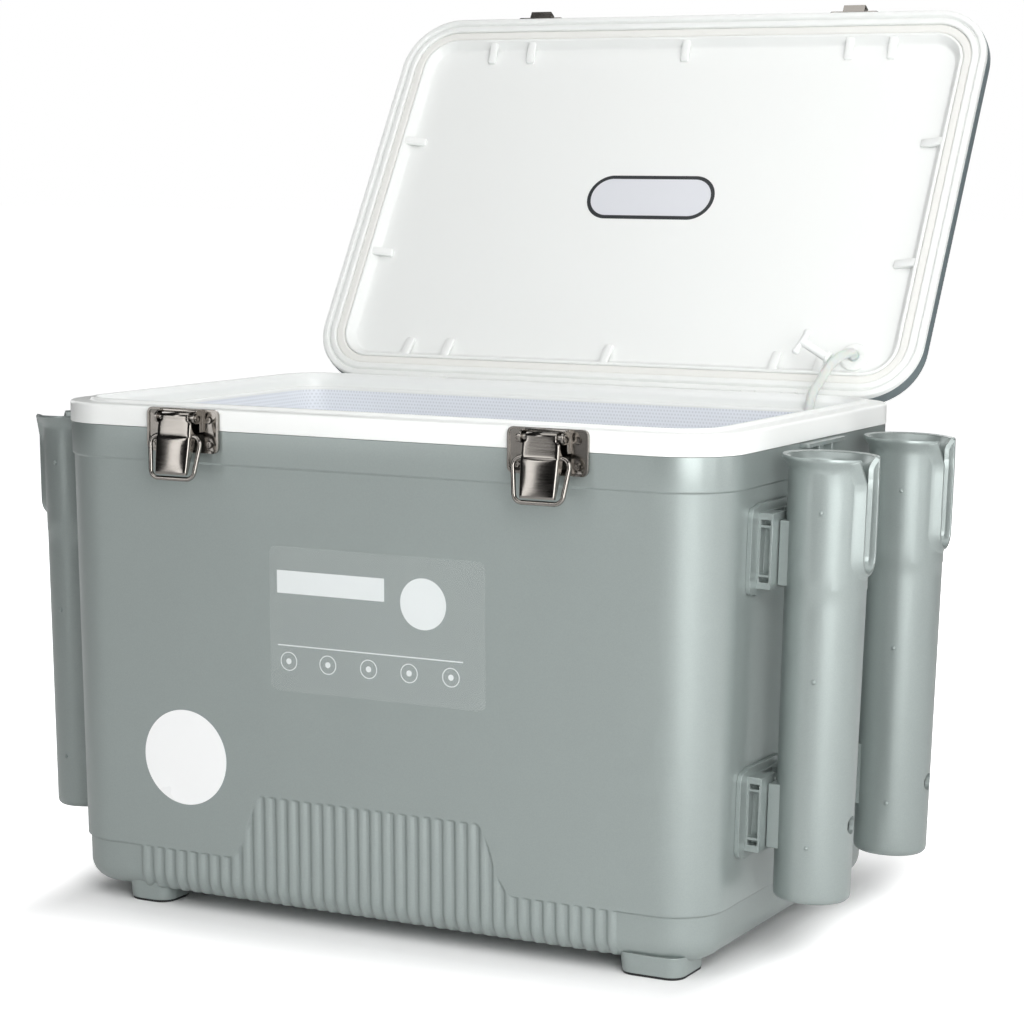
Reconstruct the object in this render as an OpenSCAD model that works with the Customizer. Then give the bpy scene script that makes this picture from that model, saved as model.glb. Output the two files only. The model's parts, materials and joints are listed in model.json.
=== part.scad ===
// Aerated live-bait cooler: insulated tub with net, hinged lid with air pump,
// two draw latches and four rod holders that lift off their brackets.
// Millimetres, +Z up, origin on the floor under the middle of the whole with its lid open, front at -Y.
// Inside the modules Y is measured from the middle of the tub.

/* [Tub] */
// Width of the tub at the rim
tub_w = 480; // [400:1:560]
// Depth of the tub at the rim, front to back
tub_d = 318; // [290:1:380]
// Height of the rim above the floor
rim_z = 331; // [315:1:400]
// Corner radius of the tub at the rim
corner_r = 43; // [40:0.5:50]
// Wall of the outer shell
shell_t = 3; // [2.4:0.1:3.2]
// Draft of the outer walls, in degrees
draft_deg = 1.5; // [1:0.1:1.6]
// Height of the bottom of the shell above the floor
foot_h = 9; // [8:0.5:14]
// Radius of the bottom edge
bottom_r = 15; // [12:0.5:16]
// Height of the white band of the rim
rim_band_h = 13.5; // [12:0.5:16]
// Height of the grey band under the rim
band_h = 21.5; // [18:0.5:26]
// Height of the low step line above the floor
low_step_z = 39.6; // [36:0.2:46]
// Depth of the low step and of the ribbed panel
low_step_in = 1.6; // [1.4:0.1:2]

/* [Ribbed panel] */
// Number of ribs on the front panel
rib_count = 40; // [30:1:42]
// Distance between ribs
rib_pitch = 8.7; // [8:0.1:8.9]
// Radius of a rib
rib_r = 3.2; // [2.8:0.1:3.6]
// How far a rib stands out of the panel
rib_proud = 1.3; // [0.8:0.1:1.3]
// Height of the raised middle of the panel above the floor
panel_z = 82; // [70:1:110]
// Half width of the raised middle at its top
panel_top_x = 77; // [60:1:90]
// Width of each sloping side of the raised middle
panel_slope_w = 34; // [24:1:44]

/* [Feet] */
// Side of a foot
foot_side = 40; // [34:1:42]
// Distance of the left feet from the middle of the tub
foot_left_x = 159; // [120:1:170]
// Distance of the right feet from the middle of the tub
foot_right_x = 194; // [120:1:196]
// Distance of the front and back feet from the middle of the tub
foot_y = 123; // [100:1:124]
// Thickness of the rubber pads
pad_t = 1.5; // [1:0.1:3]

/* [Tank] */
// Wall of the liner
liner_t = 3; // [2.4:0.1:3.6]
// Width of the rim, from its outer face to the tank
rim_w = 18.5; // [18:0.1:20]
// Height of the sealing bead on the rim
bead_h = 2; // [1.4:0.1:2.2]
// Distance from the outer face of the rim to the bead
bead_in = 13.5; // [13:0.1:14]
// Width of the bead
bead_w = 3.5; // [2.5:0.1:3.6]
// Draft of the tank walls, in degrees
tank_draft_deg = 2.4; // [2:0.1:2.6]
// Height of the tank floor above the floor
tank_floor_z = 45; // [40:1:60]
// Depth of the ledge that carries the net, below the rim
net_ledge_depth = 12; // [11:0.5:16]

/* [Net] */
// Thickness of the net fabric
net_t = 1.2; // [1:0.1:2]
// Gap between the net and the tank wall
net_gap = 5; // [4.5:0.5:7]
// Radius of the welt round the top of the net
welt_r = 2.2; // [1.8:0.1:2.4]
// Height of the bottom of the net above the tank floor
net_floor_gap = 6; // [5:0.5:12]
// Number of soft folds round the net
fold_count = 18; // [12:1:24]
// Depth of the folds
fold_depth = 1.4; // [0.5:0.1:1.6]

/* [Lid] */
// Thickness of the lid
lid_t = 24; // [22:0.5:32]
// Radius of the top edge of the lid
lid_edge_r = 14; // [10:0.5:14]
// Wall of the lid shell
lid_shell_t = 2.8; // [2.2:0.1:3]
// Height of the white edge of the inner panel
lid_panel_edge_h = 5; // [4.5:0.1:5.4]
// Wall of the inner panel
lid_panel_t = 2.5; // [2:0.1:2.8]
// Depth of the middle of the inner panel
lid_recess = 9; // [8.5:0.5:10]
// Angle that the lid stands open, in degrees
lid_angle = 121; // [95:1:121]
// Distance of the hinge axis behind the rim
hinge_back = 6.5; // [6.3:0.1:7]
// Distance of the hinge axis below the top of the rim
hinge_down = 4.2; // [4:0.1:4.6]

/* [Hinges] */
// Distance of each hinge from the middle of the lid
hinge_x = 138.5; // [110:0.5:160]
// Width of a hinge
hinge_w = 40; // [34:1:50]
// Radius of a hinge knuckle
knuckle_r = 5.5; // [5:0.1:5.6]
// Radius of the hinge pins
hinge_pin_r = 2.5; // [2:0.1:2.6]
// Radial clearance of the moving pins and pivots
pin_gap = 0.06; // [0.03:0.01:0.09]

/* [Latches] */
// Distance of each latch from the middle of the front
latch_x = 130; // [100:1:150]
// Width of a latch's base plate
latch_w = 54; // [50:1:60]
// Height of a latch's base plate
latch_h = 28; // [27:0.5:30]
// Thickness of the latch sheet
latch_t = 1.2; // [1:0.1:1.5]
// Width of the lever
lever_w = 24.6; // [22:0.2:26]
// Length of the lever below its pin
lever_len = 36; // [34:0.5:38]
// Radius of the bail wire
bail_wire_r = 1.5; // [1.2:0.1:1.6]
// Outer width of the bail at its pivot
bail_top_w = 42; // [40:0.5:44]
// Outer width of the bail at its free end
bail_end_w = 34.5; // [33:0.5:37]
// Length of the bail between wire centres
bail_len = 27.2; // [26.4:0.2:28]
// Radius of the latch pins
latch_pin_r = 2; // [1.6:0.1:2.1]

/* [Rod holders] */
// Distance between the two holders of a side
holder_pitch = 141; // [120:1:160]
// Distance from the tub wall to the axis of a holder
holder_out = 37.2; // [37:0.1:42]
// Radius of the bore for the rod butt
holder_bore_r = 21.8; // [20:0.1:22]
// Outer radius of the tube at its top
holder_top_r = 25.4; // [25:0.1:27]
// Outer radius of the tube at its bottom
holder_low_r = 23.6; // [23.4:0.1:25]
// Radius of the rolled lip at the mouth
holder_lip_r = 30.5; // [29:0.1:31.5]
// Length of a holder
holder_len = 272; // [250:1:290]
// Half width of the slot
slot_half = 8.5; // [7:0.1:9]
// Depth of the slot from the mouth
slot_depth = 71; // [60:1:80]
// Radius of the drain hole
drain_r = 5.5; // [4:0.1:6]

/* [Rod holder brackets] */
// Width of a bracket's base plate
bracket_w = 52; // [50:1:56]
// Height of a bracket's base plate
bracket_h = 56; // [54:1:60]
// Thickness of the base plate
bracket_t = 3; // [2.5:0.1:3.5]
// Depth of the socket block that stands on the base plate
block_out = 9.2; // [9:0.1:9.4]
// Distance between the upper and the lower bracket
bracket_pitch = 161.5; // [150:0.5:170]
// Sliding clearance of the rail in its socket
rail_gap = 0.3; // [0.2:0.05:0.4]

/* [Air line] */
// Outer diameter of the air hose
hose_d = 6.5; // [5:0.5:7]
// Distance of the lid port from the end of the lid
port_end = 51; // [50:1:54]
// Distance of the lid port from the back of the lid
port_back = 35; // [34:1:37]
// Radius of the grommet's flange
grommet_r = 10.5; // [9:0.5:11]
// Diameter of the air stone
stone_d = 18; // [14:1:22]
// Length of the air stone
stone_len = 40; // [30:1:50]

/* [Air pump] */
// Room beside the two cells in the pump
cell_side = 2; // [1.6:0.1:2.4]
// Length of the pump
pump_len = 112; // [112:1:114]
// Height of the pump above its bracket
pump_h = 39; // [39:1:42]
// Wall of the pump case
pump_t = 2.2; // [1.8:0.1:2.2]
// Radius of the battery cells
cell_r = 16.6; // [16:0.1:16.8]
// Length of a battery cell
cell_len = 60; // [58:0.5:60]
// Radius of the speed knob
knob_r = 11; // [9:0.5:13]

/* [Hidden] */
$fn = 48;

shell_grey = "#9AA3A1";
lid_grey = "#7A8587";
rim_white = "#F4F6F4";
net_white = "#DDE3E9";
foam_white = "#EFEBD8";
steel = "#B9BCBD";
black = "#1B1D1E";
hose_clear = "#DCE4DF";
pump_blue = "#3E5F78";
brass = "#C2A04A";

// The middle rectangle that every outline of the tub and lid goes round
core_x = tub_w / 2 - corner_r;
core_y = tub_d / 2 - corner_r;
front_y = -tub_d / 2;
band_top_z = rim_z - rim_band_h;
band_low_z = band_top_z - band_h;
draft = tan(draft_deg);
band_top_in = 0.4;
band_low_in = 1.6;
wall_top_in = 2.4;
seam_gap = 0.2;

// Radius of the outline of the plain wall at height z, and of the wall under the low step
function wall_r(z) = corner_r - wall_top_in - (band_low_z - z) * draft;
function low_r(z) = wall_r(z) - low_step_in;
bottom_cz = foot_h + bottom_r;
bottom_cr = low_r(bottom_cz) - bottom_r / cos(draft_deg);
function arc(cx, cy, r, a0, a1, n) =
    [for (i = [0:n]) [cx + r * cos(a0 + (a1 - a0) * i / n), cy + r * sin(a0 + (a1 - a0) * i / n)]];

// Liner outline
upstand_r = corner_r - liner_t - 0.3;
upstand_t = shell_t;
rim_under_z = rim_z - liner_t;
ledge_z = rim_z - net_ledge_depth;
ledge_w = 2.4;
tank_top_r = corner_r - rim_w - 1.5;
tank_r0 = tank_top_r - ledge_w;
function tank_r(z) = tank_r0 - (ledge_z - z) * tan(tank_draft_deg);
tank_floor_r = 9;
tank_cz = tank_floor_z + tank_floor_r;
tank_cr = tank_r(tank_cz) - tank_floor_r / cos(tank_draft_deg);

// Lid, drawn shut and then swung open about the hinge
lid_top_z = rim_z + lid_t;
lid_seam_z = rim_z + lid_panel_edge_h;
lid_arc_z = lid_top_z - lid_edge_r;
lid_arc_r = corner_r - lid_edge_r;
panel_face_z = rim_z + lid_recess;
panel_back_z = panel_face_z + lid_panel_t;
plug_z = lid_seam_z + 3.3;
plug_r = corner_r - lid_shell_t - 0.3;
channel_out_r = corner_r - 11.3;
channel_in_r = corner_r - 18.1;
channel_z = rim_z + 5.5;
recess_r = corner_r - 20.2;
recess_low_r = corner_r - 24.5;
hinge_y = tub_d / 2 + hinge_back;
hinge_z = rim_z - hinge_down;
port_r = 8;
port_x = tub_w / 2 - port_end;
port_y = tub_d / 2 - port_back;
elbow_r = 4;

// Latch
latch_z = rim_z - latch_h / 2;
latch_back_y = front_y - 0.1;
plate_face_y = latch_back_y - latch_t;
latch_pin_y = front_y - 8;
latch_pin_z = rim_z - 5.2;
bail_pivot_y = front_y - 9.5;
bail_pivot_z = latch_pin_z - 11.8;
bail_tilt = 10;
ear_x = 13.4;
keeper_z = rim_z + 6.9;
screw_r = 1.5;
latch_screw_at = [[-20, 7.2], [20, 7.2], [-20.3, -8.4], [20.3, -8.4]];

// Rod holder, in a frame whose X leaves the wall and whose Z climbs it from the grey band
holder_mouth = 20;
holder_end = holder_mouth - holder_len;
bracket_mid = -38.2;
block_w = 44;
block_h = 46;
block_x = bracket_t + block_out;
rail_head_x = bracket_t + 1.6;
rail_neck_x = bracket_t + 5.4;
rail_head_w = 19;
rail_neck_w = 12;
rail_stop = 4;
slide_w = 40;
slide_h = 39.6;
holder_slot_z = holder_mouth - slot_depth + slot_half;
bracket_screw_at = [-14, 14];

// Pump, drawn on the shut lid
pump_x = port_x - 29;
pump_y1 = port_y - 10;
pump_w = 4 * (cell_r + 0.3) + 2 * (pump_t + cell_side);
pump_y0 = pump_y1 - pump_len;
pump_bracket_t = 2.5;
pump_z0 = lid_top_z + pump_bracket_t + 0.3;
pump_z1 = pump_z0 + pump_h;
pump_seam_z = pump_z0 + 16;
nozzle_z = lid_top_z + 11;
bay_y = pump_y0 + cell_len + 7;
cell_z = pump_z0 + pump_t + cell_r + 0.3;
cell_gap = 4.4;
door_w = pump_w - 6;
door_l = cell_len + 4;
motor_x = pump_x - 16;
motor_y0 = bay_y + 2.6;
motor_z = pump_z0 + 19.6;
motor_r = 11.8;
motor_len = 22.4;
crank_y = motor_y0 + motor_len + 1;
crank_throw = 3;
chamber_x = pump_x + 15;
knob_x = pump_x + 18;
knob_y = pump_y1 - 22;

// A point of the shut lid, swung open
function swing(p) = [
    p[0],
    hinge_y + (p[1] - hinge_y) * cos(lid_angle) + (p[2] - hinge_z) * sin(lid_angle),
    hinge_z - (p[1] - hinge_y) * sin(lid_angle) + (p[2] - hinge_z) * cos(lid_angle)
];
// The origin lies under the middle of the whole, from the levers' toes to the open lid's edge
toe_y = -8.2;
lid_far_y = swing([0, -(core_y + lid_arc_r), lid_arc_z])[1] + lid_edge_r;
middle_y = (latch_pin_y + toe_y + lid_far_y) / 2;

// Air hose: where it leaves the grommet, over the rim and down to the stone in the net
grommet_face_z = panel_face_z - 3;
hose_start = swing([port_x, port_y, grommet_face_z - 0.1]);
hose_second = swing([port_x, port_y, grommet_face_z - 4.6]);
hose_top_route = [[187.4, 184, 359], [185, 175, 356.6], [183.2, 166, 352], [182.2, 157, 346],
    [181.8, 148, 340], [181.7, 140, 336.2], [181.8, 134, 330], [182, 129, 321], [181.5, 126.6, 312],
    [180.5, 125.2, 303], [179.5, 124.3, 295]];
hose_low_route = [[179.5, 124.3, 295], [177, 121, 270], [171, 114, 235], [161, 102, 195],
    [146, 88, 155], [126, 72, 120], [106, 58, 95], [88, 46, 78], [76, 38, 69], [68, 33, 66], [58, 27, 66]];
hose_seam_dir = unit([-1.1, -1.2, -8]);
stone_at = [58, 27, 66];
stone_dir = atan2(-6, -10);
clip_at = [184, 170, 354.4];
clip_to = [161.5, 167, 367.4];

// A closed outline in distance-from-core and height, carried round the core rectangle
module around_core(cx = core_x, cy = core_y) {
    for (side = [-1, 1]) {
        translate([side * cx, 0, 0])
            rotate([90, 0, side < 0 ? 180 : 0])
                linear_extrude(2 * cy, center = true) children();
        translate([0, side * cy, 0])
            rotate([90, 0, side * 90])
                linear_extrude(2 * cx, center = true) children();
    }
    for (turn = [0:3])
        translate([(turn == 0 || turn == 3 ? 1 : -1) * cx, (turn < 2 ? 1 : -1) * cy, 0])
            rotate([0, 0, turn * 90])
                rotate_extrude(angle = 90) children();
}

module core_plate(z0, z1, cx = core_x, cy = core_y) {
    translate([-cx, -cy, z0]) cube([2 * cx, 2 * cy, z1 - z0]);
}

module rounded_rect(w, h, r) {
    square([w - 2 * r, h], center = true);
    square([w, h - 2 * r], center = true);
    for (x = [-1, 1])
        for (y = [-1, 1])
            translate([x * (w / 2 - r), y * (h / 2 - r)]) circle(r);
}

// Both hands of a piece: the right one is drawn, the left one mirrored
module hand(side) {
    mirror([side < 0 ? 1 : 0, 0, 0]) children();
}

// A frame on the front wall at the height where the low step begins, leaning with the draft
module on_front_wall(z) {
    translate([0, -(core_y + low_r(z)), z]) rotate([draft_deg, 0, 0]) children();
}

module swung() {
    translate([0, hinge_y, hinge_z]) rotate([-lid_angle, 0, 0])
        translate([0, -hinge_y, -hinge_z]) children();
}

// Screw with a pan head and a cross recess, head towards +Z, seated on z = 0
module cross_screw(r, head_r, head_h, depth) {
    difference() {
        union() {
            translate([0, 0, -depth]) cylinder(r = r, h = depth + head_h / 2);
            cylinder(r1 = head_r, r2 = head_r * 0.7, h = head_h);
        }
        for (turn = [0, 90])
            rotate([0, 0, turn]) translate([-head_r * 0.55, -0.35, head_h - 0.7])
                cube([head_r * 1.1, 0.7, 1]);
    }
}

// ---- Tub ----

function panel_edge(i, n) = panel_top_x + panel_slope_w * i / n;
function panel_rise(i, n) = low_step_z + (panel_z - low_step_z) * (1 + cos(180 * i / n)) / 2;
panel_steps = 8;

function rib_top(x) =
    abs(x) <= panel_top_x ? panel_z :
    abs(x) >= panel_top_x + panel_slope_w ? low_step_z :
    low_step_z + (panel_z - low_step_z) * (1 + cos(180 * (abs(x) - panel_top_x) / panel_slope_w)) / 2;

module shell_outline() {
    polygon(concat(
        [[0, foot_h]],
        arc(bottom_cr, bottom_cz, bottom_r, -90, -draft_deg, 6),
        [
            [low_r(low_step_z), low_step_z],
            [wall_r(low_step_z), low_step_z + 0.6],
            [wall_r(band_low_z), band_low_z],
            [corner_r - band_low_in, band_low_z + 0.6],
            [corner_r - band_top_in, band_top_z - seam_gap],
            [upstand_r, band_top_z - seam_gap],
            [upstand_r, rim_under_z - seam_gap],
            [upstand_r - upstand_t, rim_under_z - seam_gap],
            [upstand_r - upstand_t, band_low_z - 4],
            [low_r(bottom_cz) - shell_t, bottom_cz]
        ],
        arc(bottom_cr, bottom_cz, bottom_r - shell_t, -25, -90, 3),
        [[0, foot_h + shell_t]]
    ));
}

module front_panel_outline() {
    polygon(concat(
        [[-panel_top_x - panel_slope_w, low_step_z - 1]],
        [for (i = [panel_steps:-1:0]) [-panel_edge(i, panel_steps), panel_rise(i, panel_steps)]],
        [for (i = [0:panel_steps]) [panel_edge(i, panel_steps), panel_rise(i, panel_steps)]],
        [[panel_top_x + panel_slope_w, low_step_z - 1]]
    ));
}

// Half-round ribs up the drafted wall, trimmed to the rounding of the bottom edge and rooted in the wall
module front_ribs() {
    sink = rib_r - rib_proud;
    root = shell_t / 2;
    root_r = bottom_r - root;
    env_r = bottom_r + rib_proud;
    clear_r = low_r(bottom_cz) + rib_proud + 1;
    intersection() {
        for (i = [0:rib_count - 1]) {
            x = (i - (rib_count - 1) / 2) * rib_pitch;
            on_front_wall(bottom_cz) translate([x, sink, foot_h - bottom_cz])
                linear_extrude(rib_top(x) + 2 - foot_h) {
                    circle(rib_r);
                    translate([-rib_r + 0.1, 0]) square([2 * rib_r - 0.2, 14]);
                }
        }
        rotate([90, 0, -90]) linear_extrude(rib_count * rib_pitch + 20, center = true) polygon(concat(
            [for (a = [-75, -58, -42, -27]) [core_y + bottom_cr + env_r * cos(a), bottom_cz + env_r * sin(a)]],
            [
                [core_y + clear_r, bottom_cz + 1],
                [core_y + clear_r + panel_z * draft, panel_z + 20],
                [core_y + low_r(panel_z + 20) - root, panel_z + 20],
                [core_y + low_r(bottom_cz) - root, bottom_cz]
            ],
            [for (a = [-20, -40, -60, -75])
                [core_y + bottom_cr + root_r * cos(a), bottom_cz + root_r * sin(a)]]
        ));
    }
}

module foot_block() {
    side = foot_side / 2 - 12;
    hull()
        for (x = [-1, 1])
            for (y = [-1, 1])
                translate([x * side, y * side, 0])
                    cylinder(r1 = 12, r2 = 15, h = foot_h + shell_t - 0.1 - pad_t, $fn = 32);
}

module at_feet() {
    for (x = [-foot_left_x, foot_right_x])
        for (y = [-foot_y, foot_y])
            translate([x, y, 0]) children();
}

// Ledge for the shoulder strap under the rim, with its two small ribs
module strap_ledge() {
    out = 6;
    ledge_t = 2.4;
    translate([tub_w / 2 - 2, -32, band_top_z - seam_gap - 0.3 - ledge_t]) cube([out + 2, 64, ledge_t]);
    for (y = [-12, 10])
        translate([tub_w / 2 - 2, y, band_top_z - 8]) cube([out - 1, 2, 7]);
}

module at_latch_screws() {
    for (side = [-1, 1])
        for (p = latch_screw_at)
            translate([side * latch_x + p[0], plate_face_y, latch_z + p[1]]) rotate([90, 0, 0]) children();
}

module on_side_wall(side, y) {
    hand(side) translate([corner_r - wall_top_in + core_x, y, band_low_z]) rotate([0, draft_deg, 0])
        children();
}

module at_bracket_screws(side, y) {
    on_side_wall(side, y)
        for (mid = [bracket_mid, bracket_mid - bracket_pitch])
            for (dz = bracket_screw_at)
                translate([bracket_t, 0, mid + dz]) rotate([0, 90, 0]) children();
}

module outer_shell() {
    color(shell_grey) difference() {
        union() {
            difference() {
                union() {
                    around_core() shell_outline();
                    core_plate(foot_h, foot_h + shell_t);
                }
                on_front_wall(0) rotate([90, 0, 0]) linear_extrude(6) front_panel_outline();
            }
            front_ribs();
            at_feet() translate([0, 0, pad_t]) foot_block();
            for (side = [-1, 1]) hand(side) strap_ledge();
        }
        at_latch_screws() translate([0, 0, -12]) cylinder(r = screw_r, h = 14);
        at_base_screws() translate([0, 0, -9]) cylinder(r = screw_r, h = 11);
        for (side = [-1, 1])
            for (y = [-1, 1])
                at_bracket_screws(side, y * holder_pitch / 2)
                    translate([0, 0, -12]) cylinder(r = screw_r, h = 14);
    }
}

module rubber_feet() {
    color(black) at_feet() linear_extrude(pad_t) rounded_rect(foot_side - 1, foot_side - 1, 11.5);
}

module liner_outline() {
    bead_out = corner_r - bead_in;
    bead_inn = bead_out - bead_w;
    inner_edge = corner_r - rim_w;
    polygon(concat(
        [
            [corner_r, band_top_z],
            [corner_r, rim_z - 1.8],
            [corner_r - 0.6, rim_z - 0.6],
            [corner_r - 1.8, rim_z],
            [bead_out + 0.6, rim_z],
            [bead_out - 0.2, rim_z + bead_h * 0.6],
            [bead_out - 0.9, rim_z + bead_h],
            [bead_inn + 0.7, rim_z + bead_h],
            [bead_inn, rim_z + bead_h * 0.6],
            [inner_edge, rim_z - 0.4],
            [tank_top_r + 0.4, rim_z - 3],
            [tank_top_r, ledge_z + 0.4],
            [tank_top_r - 0.4, ledge_z],
            [tank_r0 + 0.5, ledge_z],
            [tank_r0, ledge_z - 0.6]
        ],
        arc(tank_cr, tank_cz, tank_floor_r, -tank_draft_deg, -90, 5),
        [[0, tank_floor_z], [0, tank_floor_z - liner_t]],
        arc(tank_cr, tank_cz, tank_floor_r + liner_t, -90, -tank_draft_deg, 5),
        [
            [tank_r0 + liner_t, ledge_z - 2.4],
            [tank_top_r + liner_t, ledge_z],
            [tank_top_r + liner_t, rim_under_z],
            [corner_r - liner_t, rim_under_z],
            [corner_r - liner_t, band_top_z]
        ]
    ));
}

module inner_liner() {
    color(rim_white) difference() {
        union() {
            around_core() liner_outline();
            core_plate(tank_floor_z - liner_t, tank_floor_z);
        }
        at_latch_screws() translate([0, 0, -12]) cylinder(r = screw_r, h = 14);
    }
}

module tub_insulation() {
    low = foot_h + shell_t + seam_gap;
    high = tank_floor_z - liner_t - seam_gap;
    color(foam_white) {
        around_core() polygon(concat(
            [[0, low], [bottom_cr, low], [low_r(bottom_cz) - shell_t - 1.2, bottom_cz - 2]],
            [
                [upstand_r - upstand_t - seam_gap - 0.4, band_low_z - 4],
                [upstand_r - upstand_t - seam_gap - 0.4, rim_under_z - seam_gap],
                [tank_top_r + liner_t + seam_gap, rim_under_z - seam_gap],
                [tank_top_r + liner_t + seam_gap, ledge_z - 0.6],
                [tank_r0 + liner_t + seam_gap, ledge_z - 3]
            ],
            arc(tank_cr, tank_cz, tank_floor_r + liner_t + seam_gap + 0.1, -tank_draft_deg, -90, 5),
            [[0, high]]
        ));
        core_plate(low, high);
    }
}

// ---- Net ----

net_top_r = tank_r0 - net_gap + 2.6;
net_top_z = ledge_z + welt_r;
net_low_z = tank_floor_z + net_floor_gap;
net_rings = 7;
net_side = 18;

// Points round a rounded rectangle: evenly along the sides, with an arc at each corner
function net_corner(turn, r, k) = [
    (turn == 0 || turn == 3 ? 1 : -1) * core_x + r * cos(turn * 90 + k * 18),
    (turn < 2 ? 1 : -1) * core_y + r * sin(turn * 90 + k * 18)
];
function net_straight(turn, r, k) =
    let (a = net_corner(turn, r, 5), b = net_corner((turn + 1) % 4, r, 0))
    a + (b - a) * k / 9;
function net_loop(r) = [for (turn = [0:3]) each concat(
    [for (k = [0:5]) net_corner(turn, r, k)],
    [for (k = [1:8]) net_straight(turn, r, k)]
)];
net_count = len(net_loop(10));
// A fold grows from the welt to half way down and lets the wall bulge inwards
function fold(i, t) = fold_depth * sin(t * 150) * cos(360 * fold_count * i / net_count);
function net_wall_r(t) = net_top_r - 1 - t * (ledge_z - net_low_z) * tan(tank_draft_deg) - net_gap * t * 0.4;
function net_ring(t, z, off) =
    let (loop = net_loop(net_wall_r(t) - off), inner = net_loop(net_wall_r(t) - off - 1))
    [for (i = [0:net_count - 1])
        let (away = loop[i] - inner[i])
        [loop[i][0] + away[0] * fold(i, t), loop[i][1] + away[1] * fold(i, t), z]];

module net_bag() {
    levels = [for (k = [0:net_rings]) k / net_rings];
    outer = [for (t = levels) each net_ring(t, net_top_z + (net_low_z - net_top_z) * t, 0)];
    inner = [for (t = levels)
        each net_ring(t, net_top_z + (net_low_z + net_t - net_top_z) * t, net_t)];
    n = net_count;
    rows = net_rings + 1;
    shift = len(outer);
    last = (rows - 1) * n;
    middle_low = [0, 0, net_low_z];
    middle_high = [0, 0, net_low_z + net_t];
    faces = concat(
        [for (k = [0:rows - 2]) for (i = [0:n - 1])
            let (a = k * n + i, b = k * n + (i + 1) % n) each [[a, b, b + n], [a, b + n, a + n]]],
        [for (k = [0:rows - 2]) for (i = [0:n - 1])
            let (a = shift + k * n + i, b = shift + k * n + (i + 1) % n)
            each [[a, b + n, b], [a, a + n, b + n]]],
        [for (i = [0:n - 1]) let (a = i, b = (i + 1) % n)
            each [[a, shift + a, shift + b], [a, shift + b, b]]],
        [for (i = [0:n - 1]) [last + i, last + (i + 1) % n, 2 * shift]],
        [for (i = [0:n - 1]) [shift + last + (i + 1) % n, shift + last + i, 2 * shift + 1]]
    );
    color(net_white) polyhedron(concat(outer, inner, [middle_low, middle_high]), faces);
}

module net_welt() {
    color(rim_white) around_core()
        translate([tank_top_r - seam_gap - welt_r, ledge_z + seam_gap + welt_r]) circle(welt_r, $fn = 24);
}

// ---- Lid ----

module lid_port(r) {
    translate([port_x, port_y, rim_z - 5]) cylinder(r = r, h = lid_t + 20);
}

module lid_shell() {
    inner_r = lid_edge_r - lid_shell_t;
    color(lid_grey) swung() difference() {
        union() {
            around_core() polygon(concat(
                [[corner_r, lid_seam_z + seam_gap]],
                arc(lid_arc_r, lid_arc_z, lid_edge_r, 0, 90, 8),
                [[0, lid_top_z], [0, lid_top_z - lid_shell_t]],
                arc(lid_arc_r, lid_arc_z, inner_r, 90, 0, 6),
                [[corner_r - lid_shell_t, lid_seam_z + seam_gap]]
            ));
            core_plate(lid_top_z - lid_shell_t, lid_top_z);
        }
        translate([0, 0, lid_top_z - 1]) linear_extrude(2) difference() {
            rounded_rect(2 * core_x + 4, 2 * core_y + 4, 20);
            rounded_rect(2 * core_x - 4, 2 * core_y - 4, 16);
        }
        lid_port(port_r);
        at_keeper_screws() translate([0, 0, -12]) cylinder(r = screw_r, h = 14);
        at_arm_screws() translate([0, 0, -9]) cylinder(r = screw_r, h = 11);
        at_pump_screws() translate([0, 0, -9]) cylinder(r = screw_r, h = 11);
    }
}

function panel_outline_points() = [
    [corner_r - 0.4, lid_seam_z],
    [corner_r - 0.4, rim_z + 1],
    [corner_r - 1.2, rim_z + 0.2],
    [corner_r - 4.8, rim_z + 0.2],
    [corner_r - 5.5, rim_z + 1.2],
    [corner_r - 5.7, rim_z + 2.8],
    [corner_r - 6.3, rim_z + 2.8],
    [corner_r - 6.5, rim_z + 1.5],
    [corner_r - 7.2, rim_z + 0.7],
    [corner_r - 10.4, rim_z + 0.7],
    [corner_r - 11.1, rim_z + 1.3],
    [channel_out_r, channel_z],
    [channel_in_r, channel_z],
    [channel_in_r, rim_z + 3],
    [channel_in_r - 0.6, rim_z + 2.4],
    [recess_r, rim_z + 2.4],
    [recess_low_r, panel_face_z],
    [0, panel_face_z],
    [0, panel_back_z],
    [recess_low_r - 1.6, panel_back_z],
    [recess_r - 2.2, plug_z],
    [plug_r, plug_z],
    [plug_r, lid_seam_z]
];

// A short moulded rib that leans on the recess wall and runs out on the panel
module panel_boss() {
    reach = 20;
    rotate([90, 0, 90]) linear_extrude(6, center = true) polygon([
        [4, plug_z - 0.5], [4, rim_z + 3], [0, rim_z + 3.4], [-reach + 7, panel_face_z - 4],
        [-reach + 1, panel_face_z - 2.6], [-reach, panel_face_z + 0.5]
    ]);
}

// Distances of the bosses from the corners of the core rectangle
boss_in = 32;
boss_next = 65.5;
boss_end = 66.4;

module lid_panel() {
    boss_y = core_y + recess_r - 2;
    boss_x = core_x + recess_r - 2;
    color(rim_white) swung() difference() {
        union() {
            around_core() polygon(panel_outline_points());
            core_plate(panel_face_z, panel_back_z);
            for (side = [-1, 1]) {
                for (x = [boss_in - core_x, boss_next - core_x, 0, core_x - boss_next, core_x - boss_in])
                    rotate([0, 0, side > 0 ? 0 : 180]) translate([x, boss_y, 0]) panel_boss();
                for (y = [boss_end - core_y, core_y - boss_end])
                    rotate([0, 0, side * 90]) translate([y, boss_x, 0]) panel_boss();
            }
        }
        at_keeper_screws() translate([0, 0, -9]) cylinder(r = screw_r, h = 11);
        lid_port(port_r);
    }
}

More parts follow.
